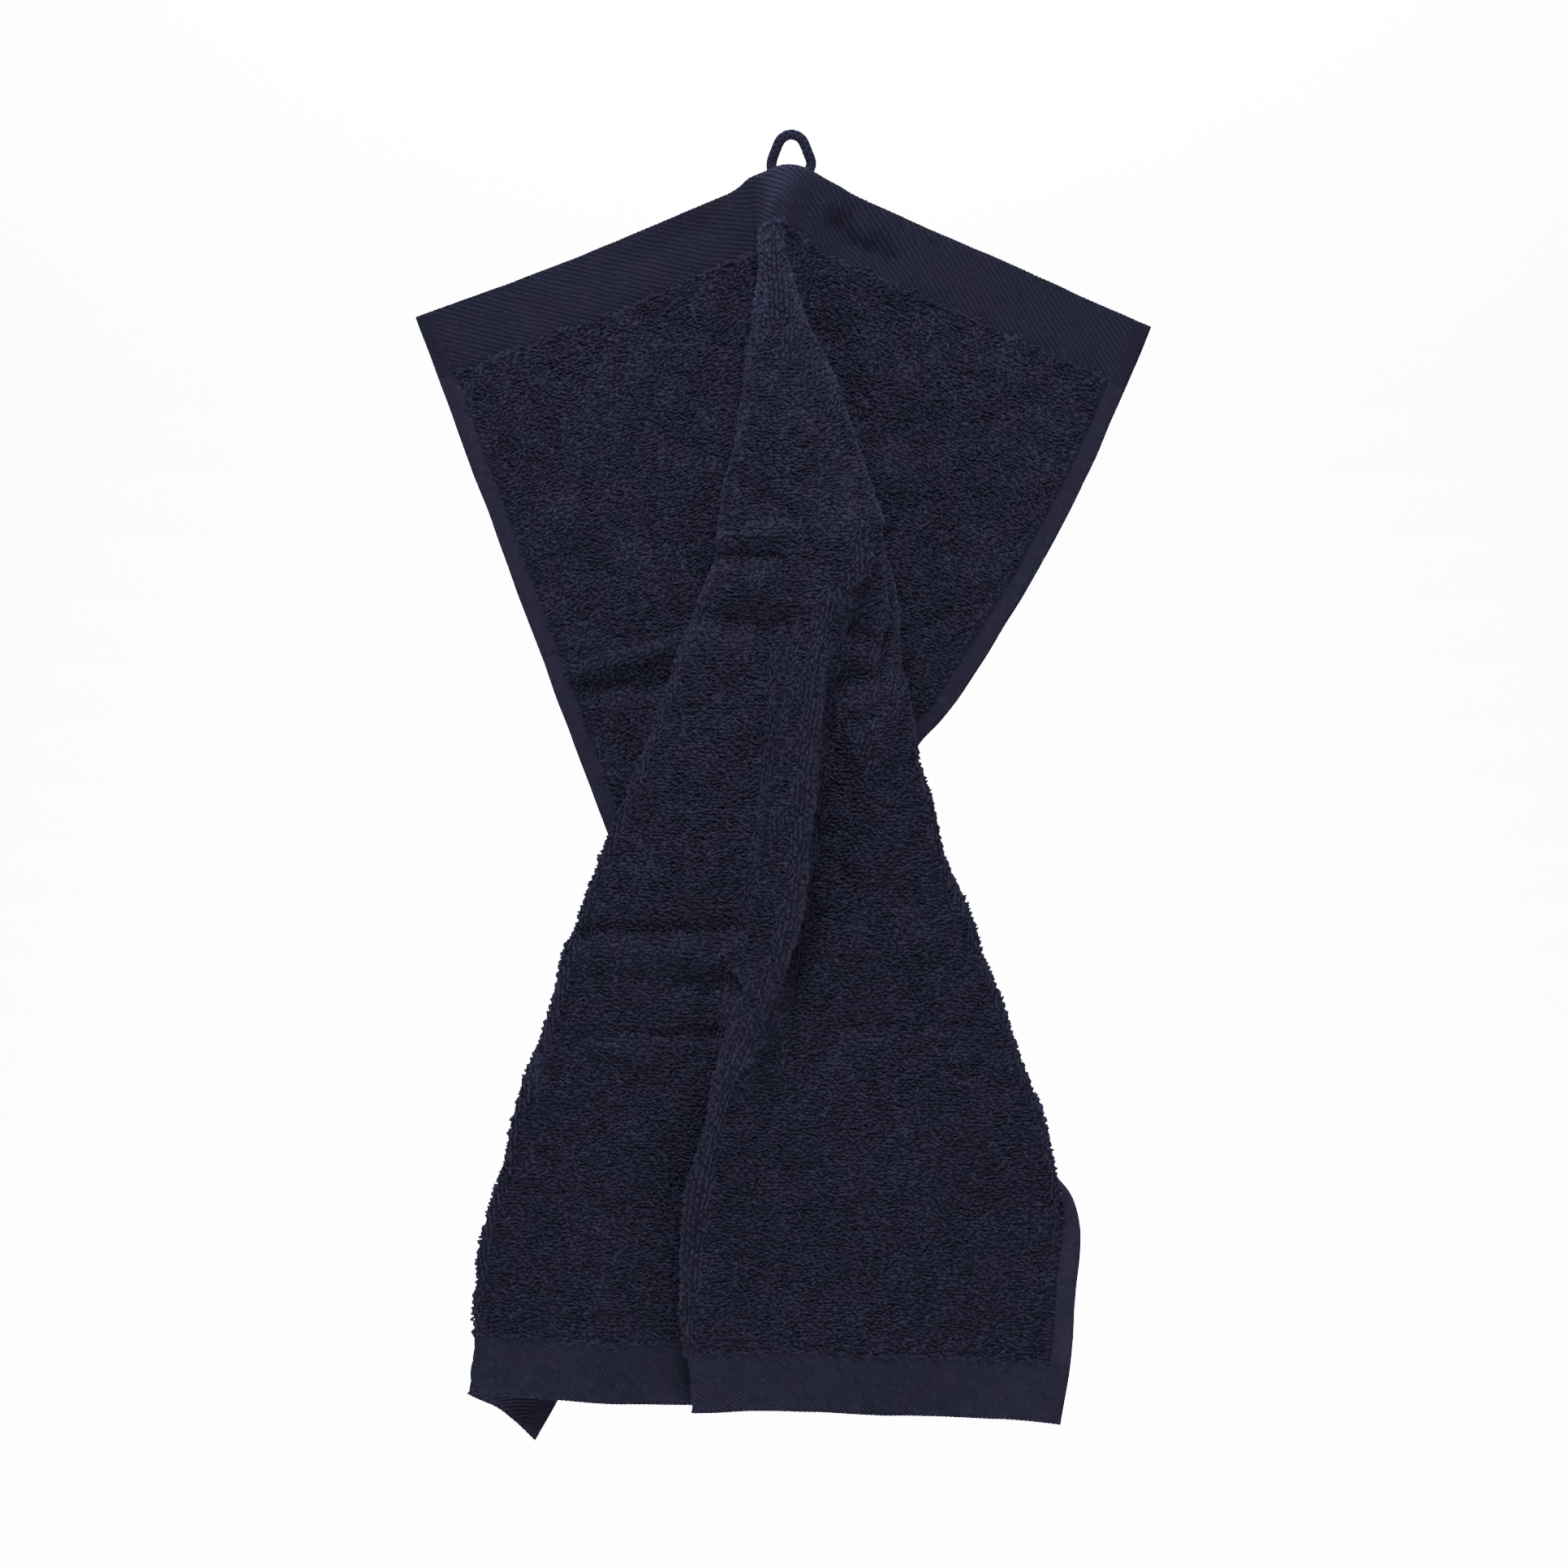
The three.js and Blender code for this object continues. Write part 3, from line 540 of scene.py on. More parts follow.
class NodeTree:
    """Short calls that add shader nodes and feed their inputs."""

    def __init__(self, tree):
        self.tree = tree

    def add(self, kind, **settings):
        """A new node with its settings."""
        node = self.tree.nodes.new(kind)
        for key, value in settings.items():
            setattr(node, key, value)
        return node

    def feed(self, value, socket):
        """Links another node's output to the socket, or sets the socket to a constant."""
        if isinstance(value, bpy.types.NodeSocket):
            self.tree.links.new(value, socket)
        else:
            socket.default_value = value

    def math(self, operation, a, b=0.0, clamp=False):
        node = self.add("ShaderNodeMath", operation=operation, use_clamp=clamp)
        self.feed(a, node.inputs[0])
        self.feed(b, node.inputs[1])
        return node.outputs[0]

    def times(self, a, b, clamp=False):
        return self.math("MULTIPLY", a, b, clamp)

    def noise(self, vector, scale, detail=2.0):
        node = self.add("ShaderNodeTexNoise")
        for key, value in (("Vector", vector), ("Scale", scale), ("Detail", detail)):
            self.feed(value, node.inputs[key])
        return node.outputs["Fac"]

    def mix(self, factor, a, b, kind="RGBA"):
        """From a to b by factor: colours, or plain values where kind is FLOAT."""
        node = self.add("ShaderNodeMix", data_type=kind)
        first, result = {"RGBA": (6, 2), "FLOAT": (2, 0)}[kind]
        for value, number in ((factor, 0), (a, first), (b, first + 1)):
            self.feed(value, node.inputs[number])
        return node.outputs[result]

    def group(self, tree, **values):
        """Outputs of a shared group; an underscore in the name of an input stands for a space."""
        node = self.add("ShaderNodeGroup", node_tree=tree)
        for key, value in values.items():
            self.feed(value, node.inputs[key.replace("_", " ")])
        return node.outputs

    def across_down(self, flat):
        """The two parts of a place in the flat cloth."""
        parts = self.add("ShaderNodeSeparateXYZ")
        self.feed(flat, parts.inputs[0])
        return parts.outputs[0], parts.outputs[1]

    def attribute(self, name):
        return self.add("ShaderNodeAttribute", attribute_name=name).outputs["Fac"]

    def place(self):
        """The point in the towel's own frame."""
        return self.add("ShaderNodeTexCoord").outputs["Object"]


def shader_group(name, inputs, outputs):
    """A new shader node group with named sockets, given as (name, kind, default) and (name, kind)."""
    tree = bpy.data.node_groups.new(name, "ShaderNodeTree")
    for label, kind, default in inputs:
        socket = tree.interface.new_socket(name=label, in_out="INPUT", socket_type=kind)
        if default is not None:
            socket.default_value = default
    for label, kind in outputs:
        tree.interface.new_socket(name=label, in_out="OUTPUT", socket_type=kind)
    nodes = NodeTree(tree)
    return nodes, nodes.add("NodeGroupInput").outputs, nodes.add("NodeGroupOutput").inputs, tree


# Shading. Pitches are in metres, scales are the noise texture's, and shades are shares of a yarn's colour.
SHEEN_ROUGHNESS = 0.5
SHEEN_TINT = (0.34, 0.30, 0.60)
TOP_RIBS = dict(Pitch=0.0022, Slant_Cosine=0.839, Slant_Sine=0.545)
BOTTOM_RIBS = dict(Pitch=0.0016, Slant_Cosine=0.777, Slant_Sine=0.629)
RIB_WANDER_SCALE = 90.0
RIB_WANDER = 0.0016
RIB_POWER = 0.6
WEFT_PITCH = 0.0011
WARP_PITCH = 0.0009
NICK_DEPTH = 0.16
# Share of the band colour in the twill's grooves: painted shade
GROOVE_PAINTED_SHADE = 0.45
HEM_RELIEF = 0.5
HEM_RIB_SHARE = 0.7
BLUE_DYE = (0.0067, 0.0096, 0.0179)
PURPLE_DYE = (0.0107, 0.0084, 0.0176)
DYE_DRIFT = 0.35
DYE_PATCH_SCALE = 50.0
DYE_PATCH_LEVEL = 0.36
DYE_PATCH_CONTRAST = 3.4
DYE_FINE_SCALE = 420.0
DYE_FINE_RANGE = 0.5
DYE_FINE_LEAST = 0.75
LOOP_SHADES = (0.76, 1.24)
RISE_POWER = 1.1
# Shares of the cord colour for its gaps and strands: painted shade and painted light
BRAID_SHADE_AND_LIGHT = (0.4, 1.5)
THREAD_SHADE = 1.7


def ribbed_twill_group():
    """Slanted ribs of a twill band: a sine across the ribs, sharpened, and nicked along them by the weft."""
    nodes, given, out, tree = shader_group(
        "ribbed twill",
        [
            ("Flat Cloth", "NodeSocketVector", None),
            ("Pitch", "NodeSocketFloat", 0.0022),
            ("Slant Cosine", "NodeSocketFloat", 0.84),
            ("Slant Sine", "NodeSocketFloat", 0.54),
        ],
        [("Height", "NodeSocketFloat"), ("Groove", "NodeSocketFloat")],
    )
    across, down = nodes.across_down(given["Flat Cloth"])
    uneven = nodes.math("SUBTRACT", nodes.noise(given["Flat Cloth"], RIB_WANDER_SCALE), 0.5)
    straight = nodes.math(
        "SUBTRACT", nodes.times(down, given["Slant Cosine"]), nodes.times(across, given["Slant Sine"]))
    over = nodes.math("ADD", straight, nodes.times(uneven, RIB_WANDER))
    phase = nodes.math("DIVIDE", over, given["Pitch"])
    wave = nodes.math("ABSOLUTE", nodes.math("SINE", nodes.times(phase, math.pi)))
    rib = nodes.math("POWER", wave, RIB_POWER)
    weft = nodes.math("SINE", nodes.times(down, 2 * math.pi / WEFT_PITCH))
    warp = nodes.math("SINE", nodes.times(across, 2 * math.pi / WARP_PITCH))
    nick = nodes.times(nodes.times(weft, warp), NICK_DEPTH)
    nodes.feed(nodes.math("ADD", rib, nick), out["Height"])
    # Groove marks where the ribs are low; the sheet paints shade there
    nodes.feed(nodes.math("SUBTRACT", 1.0, rib, clamp=True), out["Groove"])
    return tree


def plain_weave_group():
    """Plain weave: the product of two sines, one for each set of threads."""
    nodes, given, out, tree = shader_group(
        "plain weave",
        [("Flat Cloth", "NodeSocketVector", None), ("Thread Pitch", "NodeSocketFloat", 0.0008)],
        [("Height", "NodeSocketFloat")],
    )
    waves = []
    for part in nodes.across_down(given["Flat Cloth"]):
        turns = nodes.math("DIVIDE", part, given["Thread Pitch"])
        waves.append(nodes.math("SINE", nodes.times(turns, 2 * math.pi)))
    nodes.feed(nodes.times(*waves), out["Height"])
    return tree


def dye_group():
    """Slow differences in the dye: the yarn colour drifts a little to blue and to purple in soft patches."""
    nodes, given, out, tree = shader_group(
        "uneven dye",
        [
            ("Place", "NodeSocketVector", None),
            ("Colour", "NodeSocketColor", (0.02, 0.02, 0.03, 1.0)),
            ("Strength", "NodeSocketFloat", 1.0),
        ],
        [("Colour", "NodeSocketColor")],
    )
    patch = nodes.noise(given["Place"], DYE_PATCH_SCALE)
    fine = nodes.noise(given["Place"], DYE_FINE_SCALE, detail=3.0)
    blue, purple = (nodes.mix(DYE_DRIFT, given["Colour"], shade(dye)) for dye in (BLUE_DYE, PURPLE_DYE))
    hue = nodes.times(nodes.math("SUBTRACT", patch, DYE_PATCH_LEVEL), DYE_PATCH_CONTRAST, clamp=True)
    mixed = nodes.mix(given["Strength"], given["Colour"], nodes.mix(hue, blue, purple))
    bright = nodes.add("ShaderNodeVectorMath", operation="SCALE")
    nodes.feed(mixed, bright.inputs[0])
    nodes.feed(nodes.math("ADD", nodes.times(fine, DYE_FINE_RANGE), DYE_FINE_LEAST), bright.inputs["Scale"])
    nodes.feed(bright.outputs[0], out["Colour"])
    return tree


def shared_group(name, maker):
    """A node group that is built once."""
    return bpy.data.node_groups.get(name) or maker()


def shade(colour, share=1.0):
    """The colour times share, with alpha 1."""
    return (*[c * share for c in colour], 1.0)


def new_material(name, roughness, sheen):
    """A material with its plain shader values set, its nodes and its shader's inputs."""
    material = bpy.data.materials.new(name)
    material.use_nodes = True
    shader = material.node_tree.nodes["Principled BSDF"].inputs
    shader["Roughness"].default_value = roughness
    shader["Specular IOR Level"].default_value = 0.0
    shader["Sheen Weight"].default_value = sheen
    shader["Sheen Roughness"].default_value = SHEEN_ROUGHNESS
    shader["Sheen Tint"].default_value = shade(SHEEN_TINT)
    return material, NodeTree(material.node_tree), shader


def add_colour(nodes, shader, yarn, unevenness):
    """Gives the shader the yarn's colour, unevenly dyed."""
    dyed = nodes.group(
        shared_group("uneven dye", dye_group), Place=nodes.place(), Colour=yarn, Strength=unevenness)
    nodes.feed(dyed["Colour"], shader["Base Color"])


def add_bump(nodes, shader, height, strength, distance):
    """Bends the shader's normals by a map of height."""
    bump = nodes.add("ShaderNodeBump")
    for key, value in (("Strength", strength), ("Distance", distance), ("Height", height)):
        nodes.feed(value, bump.inputs[key])
    nodes.feed(bump.outputs[0], shader["Normal"])


def pile_material(colours):
    """Terry loops with painted shade towards the roots and lighter tips, each loop its own tone, over uneven
    dye.
    """
    material, nodes, shader = new_material("terry_pile", roughness=0.95, sheen=0.02)
    darkest, lightest = (shade(colours.pile_tip, share) for share in LOOP_SHADES)
    tip = nodes.mix(nodes.attribute("tone"), darkest, lightest)
    # Painted shade: the loops darken from the tip colour at their backs to the roots' colour at their feet
    rise = nodes.math("POWER", nodes.attribute("rise"), RISE_POWER)
    add_colour(nodes, shader, nodes.mix(rise, shade(colours.pile_root_shade), tip), unevenness=0.7)
    add_bump(nodes, shader, nodes.noise(nodes.place(), scale=1500.0), strength=0.35, distance=0.0003)
    return material


def sheet_material(colours, sizes):
    """The woven sheet: twill ribs with painted shade in their grooves on the bands, plain weave on the hems,
    painted shade on the ground under the pile.
    """
    material, nodes, shader = new_material("towel_weave", roughness=0.9, sheen=0.015)
    flat = nodes.add("ShaderNodeUVMap", uv_map=FLAT_UV).outputs[0]
    across, down = nodes.across_down(flat)
    hem = nodes.math("GREATER_THAN", nodes.math("ABSOLUTE", across), sizes.width / 2 - sizes.side_hem)
    top = nodes.math("LESS_THAN", down, sizes.top_band)
    bottom = nodes.math("GREATER_THAN", down, sizes.length - sizes.bottom_band)
    band = nodes.math("MAXIMUM", top, bottom)
    twill = shared_group("ribbed twill", ribbed_twill_group)
    upper, lower = (nodes.group(twill, Flat_Cloth=flat, **ribs) for ribs in (TOP_RIBS, BOTTOM_RIBS))
    weave = nodes.group(shared_group("plain weave", plain_weave_group), Flat_Cloth=flat)
    ribs, groove = (nodes.mix(bottom, upper[key], lower[key], "FLOAT") for key in ("Height", "Groove"))
    hem_height = nodes.math(
        "ADD", nodes.times(weave["Height"], HEM_RELIEF), nodes.times(nodes.times(ribs, band), HEM_RELIEF))
    # The bands' grooves are painted darker: painted shade
    rib_colour_with_groove_shade = nodes.mix(groove, shade(colours.band), shade(colours.band, GROOVE_PAINTED_SHADE))
    turned_colour = nodes.mix(nodes.times(band, HEM_RIB_SHARE), shade(colours.hem), rib_colour_with_groove_shade)
    woven_colour = nodes.mix(hem, rib_colour_with_groove_shade, turned_colour)
    # Outside bands and hems the sheet takes the pile roots' colour: painted shade under the loops
    yarn = nodes.mix(nodes.math("MAXIMUM", band, hem), shade(colours.pile_root_shade), woven_colour)
    add_colour(nodes, shader, yarn, unevenness=0.55)
    add_bump(nodes, shader, nodes.mix(hem, ribs, hem_height, "FLOAT"), strength=0.9, distance=0.0005)
    return material


def cord_material(colours):
    """Braided cord: painted shade in the gaps and painted light on the strands follow the braid's own height,
    over uneven dye.
    """
    material, nodes, shader = new_material("braided_cord", roughness=0.85, sheen=0.02)
    # Gaps between the braid's strands get painted shade and the strands painted light
    gap, strand = (shade(colours.cord, share) for share in BRAID_SHADE_AND_LIGHT)
    add_colour(nodes, shader, nodes.mix(nodes.attribute("rise"), gap, strand), unevenness=0.3)
    add_bump(nodes, shader, nodes.noise(nodes.place(), scale=2200.0), strength=0.4, distance=0.0002)
    return material


def thread_material(colours):
    """Sewing thread: smoother and lighter than the cloth."""
    material, nodes, shader = new_material("hem_thread", roughness=0.7, sheen=0.03)
    add_colour(nodes, shader, shade(colours.band, THREAD_SHADE), unevenness=0.3)
    return material


def edge_material(colours):
    """Yarns that bind the top and bottom edges, in the bands' colour."""
    material, nodes, shader = new_material("edge_yarn", roughness=0.9, sheen=0.015)
    add_colour(nodes, shader, shade(colours.band), unevenness=0.5)
    return material


PILE_EDGE_BLEND = mm(1.0)


def sheet_thickness(across, down, sizes):
    """Thickness of the woven sheet: bands and hems are full, and the ground under the pile is thinner."""
    past_band = np.minimum(down - sizes.top_band, sizes.length - sizes.bottom_band - down)
    inside = sizes.width / 2 - np.abs(across) - sizes.side_hem
    field = smooth_step(np.minimum(past_band, inside), -PILE_EDGE_BLEND, PILE_EDGE_BLEND)
    return sizes.band_thickness * (1 - field) + sizes.ground_thickness * field


# Points of the sheet's grid along the width and the length
SHEET_ACROSS = 161
SHEET_DOWN = 173


def spaced_with_edges(total, count, edges):
    """Even steps from 0 to total, with the nearest steps moved onto the given edges."""
    steps = np.linspace(0, total, count)
    for edge in edges:
        steps[np.abs(steps - edge).argmin()] = edge
    return steps


class TOWEL_OT_sheet(bpy.types.Operator):
    """Woven sheet of the whole towel: the cloth's map, offset half the thickness to both sides and closed."""

    bl_idname = "towel.sheet"
    bl_label = "Woven sheet"

    def execute(self, context):
        sizes, colours = context.scene.towel_sizes, context.scene.towel_colours
        hem_edges = (sizes.side_hem, sizes.width - sizes.side_hem)
        band_edges = (sizes.top_band, sizes.length - sizes.bottom_band)
        across, down = np.meshgrid(
            spaced_with_edges(sizes.width, SHEET_ACROSS, hem_edges) - sizes.width / 2,
            spaced_with_edges(sizes.length, SHEET_DOWN, band_edges),
        )
        place, normal = cloth_map().sample(across, down)
        offset = (sheet_thickness(across, down, sizes) / 2)[..., None] * normal
        rows, columns = across.shape
        count = rows * columns
        points = np.concatenate([(place + offset).reshape(-1, 3), (place - offset).reshape(-1, 3)])
        number = np.arange(count).reshape(rows, columns)
        loop = np.concatenate([number[0, :-1], number[:-1, -1], number[-1, :0:-1], number[:0:-1, 0]])
        after = np.roll(loop, -1)
        rim = np.stack([loop, after, after + count, loop + count], -1)
        faces = np.concatenate([
            grid_faces(rows, columns), grid_faces(rows, columns, count, turned=True), rim,
        ])
        flat = np.stack([across, down], -1).reshape(-1, 2)
        sheet = make_piece("towel_sheet", points, faces, sheet_material(colours, sizes),
                           uv=np.concatenate([flat, flat]))
        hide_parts(CLOTH_NODE)
        return {"FINISHED"}


# The pile. A loop is a low ridge with a foot of four points and a back of two. Plain lengths are in metres,
# turns in radians, the rest are shares, and loops spread evenly between the numbers of SIZES, LENGTHS and
# HEIGHTS. Each is open below, where it stands in the cloth.
PILE_MARGIN = mm(0.5)
PILE_BANDS = 3
ROW_SHARE = 0.79
LOOP_HALF_LENGTH = 0.0012
LOOP_HALF_WIDTH = 0.00066
LOOP_BACK_SHARE = 0.45
LOOP_SINK = 0.0003
LOOP_SIZES = (0.78, 1.25)
LOOP_LENGTHS = (0.85, 1.2)
LOOP_HEIGHTS = (0.45, 1.3)
LOOP_SHIFTS = (0.45, 0.34)
LOOP_TURN = 0.42
LOOP_TONE = 0.42
LEAN_ALONG, LEAN_OVER = 0.38, 0.6

# How patches of the pile lie and shade, and how it changes on a sharp fold. The noise has room for a few
# steps more than the towel, and no place lies past its last whole step.
NOISE_MARGIN = 3
NOISE_LAST_STEP = 2.001
LAY_STEP = mm(9.0)
LAY_ALONG, LAY_OVER, LAY_TONE = 0.35, 0.9, 0.16
STREAK_STEP = mm(1.9)
STREAK_STRETCH = 0.12
STREAK_TONE = 0.14
WEFT_REACH = mm(1.5)
FOLD_REACH = mm(4.5)
FOLD_TURNS = (0.35, 0.9)
FOLD_GATHER = 0.65
FOLD_CALM = 0.3

# Ragged edges of the pile, towards the hems and the bands
FRINGE_LOOPS = 420
FRINGE_REACH = (mm(-0.6), mm(1.2))
FRAY_STEP = mm(4.0)
HEM_FRAY, HEM_FRAY_BACK, HEM_FRAY_FADE = mm(2.2), mm(0.3), mm(4.0)
BAND_FRAY, BAND_FRAY_BACK, BAND_FRAY_FADE = mm(3.0), mm(0.6), mm(6.0)

PILE_SEED = 11
LAY_SEEDS = (21, 22, 23)
STREAK_SEED = 24
FRAY_SEEDS = (25, 26)


def tuft_faces(count):
    """Faces of count low ridges: two sloping sides of two triangles and two end triangles each."""
    one = np.array([(0, 1, 5), (0, 5, 4), (2, 3, 4), (2, 4, 5), (3, 0, 4), (1, 2, 5)])
    return (one + 6 * np.arange(count)[:, None, None]).reshape(-1, 3)


def soft_noise(seed, across, down, step, sizes):
    """Soft random field from -1 to 1: random values at the given step, blended by smooth steps both ways."""
    columns, rows = (int(side / step) + NOISE_MARGIN for side in (sizes.width, sizes.length))
    values = np.random.default_rng(seed).uniform(-1, 1, (rows, columns))
    i = np.clip((across + sizes.width / 2) / step, 0, columns - NOISE_LAST_STEP)
    j = np.clip(down / step, 0, rows - NOISE_LAST_STEP)
    i0, j0 = i.astype(int), j.astype(int)
    return mix_four(values, i0, j0, smooth_step(i - i0, 0, 1), smooth_step(j - j0, 0, 1))


def fold_share(across, down, sizes):
    """How far a place lies on a sharp fold, 0 to 1: the turn of the normal over a few millimetres of weft."""
    half = sizes.width / 2
    right = cloth_map().sample(np.minimum(across + FOLD_REACH, half), down)[1]
    left = cloth_map().sample(np.maximum(across - FOLD_REACH, -half), down)[1]
    return smooth_step(np.linalg.norm(right - left, axis=-1), *FOLD_TURNS)


def pile_tufts(rng, across, down, side, sizes):
    """Points, rise and tone of the loops that stand at places of the flat cloth on one side of it.

    A loop is a ridge: foot corners at plus and minus its half length and width, back points raised by its
    height and leaned over, partly at random and partly as the patch it stands in lies. Its direction lies
    near the weft; on sharp folds it lies near the warp, and the loops close up to columns along the fold.
    """
    count = len(across)
    cloth = cloth_map()
    upright = fold_share(across, down, sizes)
    column = (np.floor(across / sizes.pile_pitch) + 0.5) * sizes.pile_pitch
    across = across + FOLD_GATHER * upright * (column - across)
    place, normal = cloth.sample(across, down)
    ahead = cloth.sample(np.minimum(across + WEFT_REACH, sizes.width / 2), down)[0] - place
    ahead -= normal * (ahead * normal).sum(-1, keepdims=True)
    weft = unit(ahead)
    warp = np.cross(normal, weft)
    angle = rng.normal(0, LOOP_TURN, count) * (1 - FOLD_CALM * upright) + upright * math.pi / 2
    along = weft * np.cos(angle)[:, None] + warp * np.sin(angle)[:, None]
    over = np.cross(normal, along)
    size = rng.uniform(*LOOP_SIZES, count)
    long = (LOOP_HALF_LENGTH * size * rng.uniform(*LOOP_LENGTHS, count))[:, None]
    wide = (LOOP_HALF_WIDTH * size)[:, None]
    tall = (sizes.pile_height * rng.uniform(*LOOP_HEIGHTS, count))[:, None]
    out = normal * side
    foot = place + out * (sheet_thickness(across, down, sizes) / 2 - LOOP_SINK)[:, None]
    lay = [soft_noise(seed, across, down, LAY_STEP, sizes) for seed in LAY_SEEDS]
    lean_along = LAY_ALONG * lay[0] + rng.normal(0, LEAN_ALONG, count)
    lean_over = LAY_OVER * lay[1] + rng.normal(0, LEAN_OVER, count)
    lean = along * lean_along[:, None] * long + over * lean_over[:, None] * wide
    top = foot + out * (tall + LOOP_SINK) + lean
    points = np.stack([
        foot - along * long - over * wide,
        foot + along * long - over * wide,
        foot + along * long + over * wide,
        foot - along * long + over * wide,
        top - along * long * LOOP_BACK_SHARE,
        top + along * long * LOOP_BACK_SHARE,
    ], 1)
    # Rise is 0 at a loop's foot and 1 at its back; the pile's painted root shade follows it
    rise = np.tile([0.0, 0.0, 0.0, 0.0, 1.0, 1.0], count)
    streak = soft_noise(STREAK_SEED, across * STREAK_STRETCH, down, STREAK_STEP, sizes)
    tone = 0.5 + LAY_TONE * lay[2] + STREAK_TONE * streak + rng.uniform(-LOOP_TONE, LOOP_TONE, count)
    return points.reshape(-1, 3), rise, np.repeat(np.clip(tone, 0, 1), len(points[0]))


def frayed(across, down, right, top, bottom, sizes):
    """Loops near an edge of the pile stray over band or hem, by a soft random amount that fades inwards."""
    stray = [0.5 + 0.5 * soft_noise(seed, across, down, FRAY_STEP, sizes) for seed in FRAY_SEEDS]
    outward = np.sign(across) * np.exp(-(right - np.abs(across)) / HEM_FRAY_FADE)
    ends = np.exp(-(bottom - down) / BAND_FRAY_FADE) - np.exp(-(down - top) / BAND_FRAY_FADE)
    across = across + outward * (stray[0] * HEM_FRAY - HEM_FRAY_BACK)
    return across, down + ends * (stray[1] * BAND_FRAY - BAND_FRAY_BACK)


class TOWEL_OT_pile(bpy.types.Operator):
    """Terry loops on both faces: rows at the pile's pitch, each loop moved and turned a little at random."""

    bl_idname = "towel.pile"
    bl_label = "Terry pile"

    def execute(self, context):
        sizes, colours = context.scene.towel_sizes, context.scene.towel_colours
        material = pile_material(colours)
        pitch, row_pitch = sizes.pile_pitch, sizes.pile_pitch * ROW_SHARE
        rng = np.random.default_rng(PILE_SEED)
        right = sizes.width / 2 - sizes.side_hem - PILE_MARGIN
        columns = int(2 * right / pitch)
        top, bottom = sizes.top_band + PILE_MARGIN, sizes.length - sizes.bottom_band - PILE_MARGIN
        rows = int((bottom - top) / row_pitch)
        parts = np.array_split(np.arange(rows), PILE_BANDS)
        for label, side in (("front", 1.0), ("back", -1.0)):
            for part, chosen in enumerate(parts):
                i, j = np.meshgrid(np.arange(columns), chosen)
                shift = rng.uniform(-1, 1, (2,) + i.shape) * np.array(LOOP_SHIFTS)[:, None, None]
                staggered = i + 0.25 + 0.5 * (j % 2)
                across = (-right + (staggered + shift[0]) * pitch).ravel()
                down = (top + (j + 0.5 + shift[1]) * row_pitch).ravel()
                if part in (0, PILE_BANDS - 1):
                    edge, inward = (top, 1.0) if part == 0 else (bottom, -1.0)
                    across = np.append(across, rng.uniform(-right, right, FRINGE_LOOPS))
                    down = np.append(down, edge + inward * rng.uniform(*FRINGE_REACH, FRINGE_LOOPS))
                across, down = frayed(across, down, right, top, bottom, sizes)
                points, rise, tone = pile_tufts(rng, across, down, side, sizes)
                faces = tuft_faces(len(across))
                faces = faces if side < 0 else faces[:, ::-1]
                make_piece(f"pile_{label}_{part + 1}", points, faces, material,
                           attributes={"rise": rise, "tone": tone})
        return {"FINISHED"}


# Stitches, in metres. A spindle's shares are of its radius, and a rise is how far its centre stands over the
# sheet, as a share of its radius. Starts are shares of a stitch.
STITCH_SIDES = 5
SPINDLE_STATIONS = (0.0, 0.25, 0.5, 0.75, 1.0)
SPINDLE_SHARES = (0.35, 0.9, 1.0, 0.9, 0.35)
HEM_STITCH = dict(radius=0.00022, rise=0.3, arch=mm(0.12))
HEM_STITCH_INSET = mm(1.1)
HEM_STITCH_START = 0.12
HEM_STITCH_SHARE = 0.76
EDGE_STITCH = dict(radius=0.00055, rise=-0.55, arch=mm(0.1))
EDGE_STITCH_PITCH = 0.0023
EDGE_STITCH_START = 0.4
EDGE_STITCH_SLANT = mm(0.7)
EDGE_STITCH_OUT, EDGE_STITCH_IN = mm(0.3), mm(1.7)


def tubes_along(start, end, out, radius, arch):
    """Short spindles from start to end: rings of points round each line, arched outwards in the middle.

    They are open at their narrow ends, which lie in the cloth or close to it.
    """
    stations, fat = np.array(SPINDLE_STATIONS), np.array(SPINDLE_SHARES)
    line = end - start
    along = unit(line)
    beside = unit(np.cross(along, out))
    up = np.cross(beside, along)
    turn = 2 * np.pi * np.arange(STITCH_SIDES) / STITCH_SIDES
    ring = beside[:, None, None] * np.cos(turn)[:, None] + up[:, None, None] * np.sin(turn)[:, None]
    raised = np.sin(np.pi * stations) * arch
    centre = start[:, None] + line[:, None] * stations[:, None] + out[:, None] * raised[:, None]
    points = centre[:, :, None] + ring * (radius * fat)[:, None, None]
    first = len(stations) * STITCH_SIDES * np.arange(len(start))
    faces = ring_faces(len(stations), STITCH_SIDES) + first[:, None, None]
    return points.reshape(-1, 3), faces.reshape(-1, 4)


def sew(name, material, sizes, runs, radius, rise, arch):
    """One piece of stitches on both faces of the cloth.

    A run is the starts and the ends of its stitches, each as across and down in the flat cloth. The threads'
    centres stand over the sheet by rise, a share of their radius, and arch outwards in the middle.
    """
    all_points, all_faces, used = [], [], 0
    for start, end in runs:
        (a, normal), (b, _) = cloth_map().sample(*start), cloth_map().sample(*end)
        height = sheet_thickness(*start, sizes) / 2 + radius * rise
        for side in (-1.0, 1.0):
            out = normal * side
            lift = out * height[:, None]
            points, faces = tubes_along(a + lift, b + lift, out, radius, arch)
            all_points.append(points)
            all_faces.append(faces + used)
            used += len(points)
    make_piece(name, np.concatenate(all_points), np.concatenate(all_faces), material)


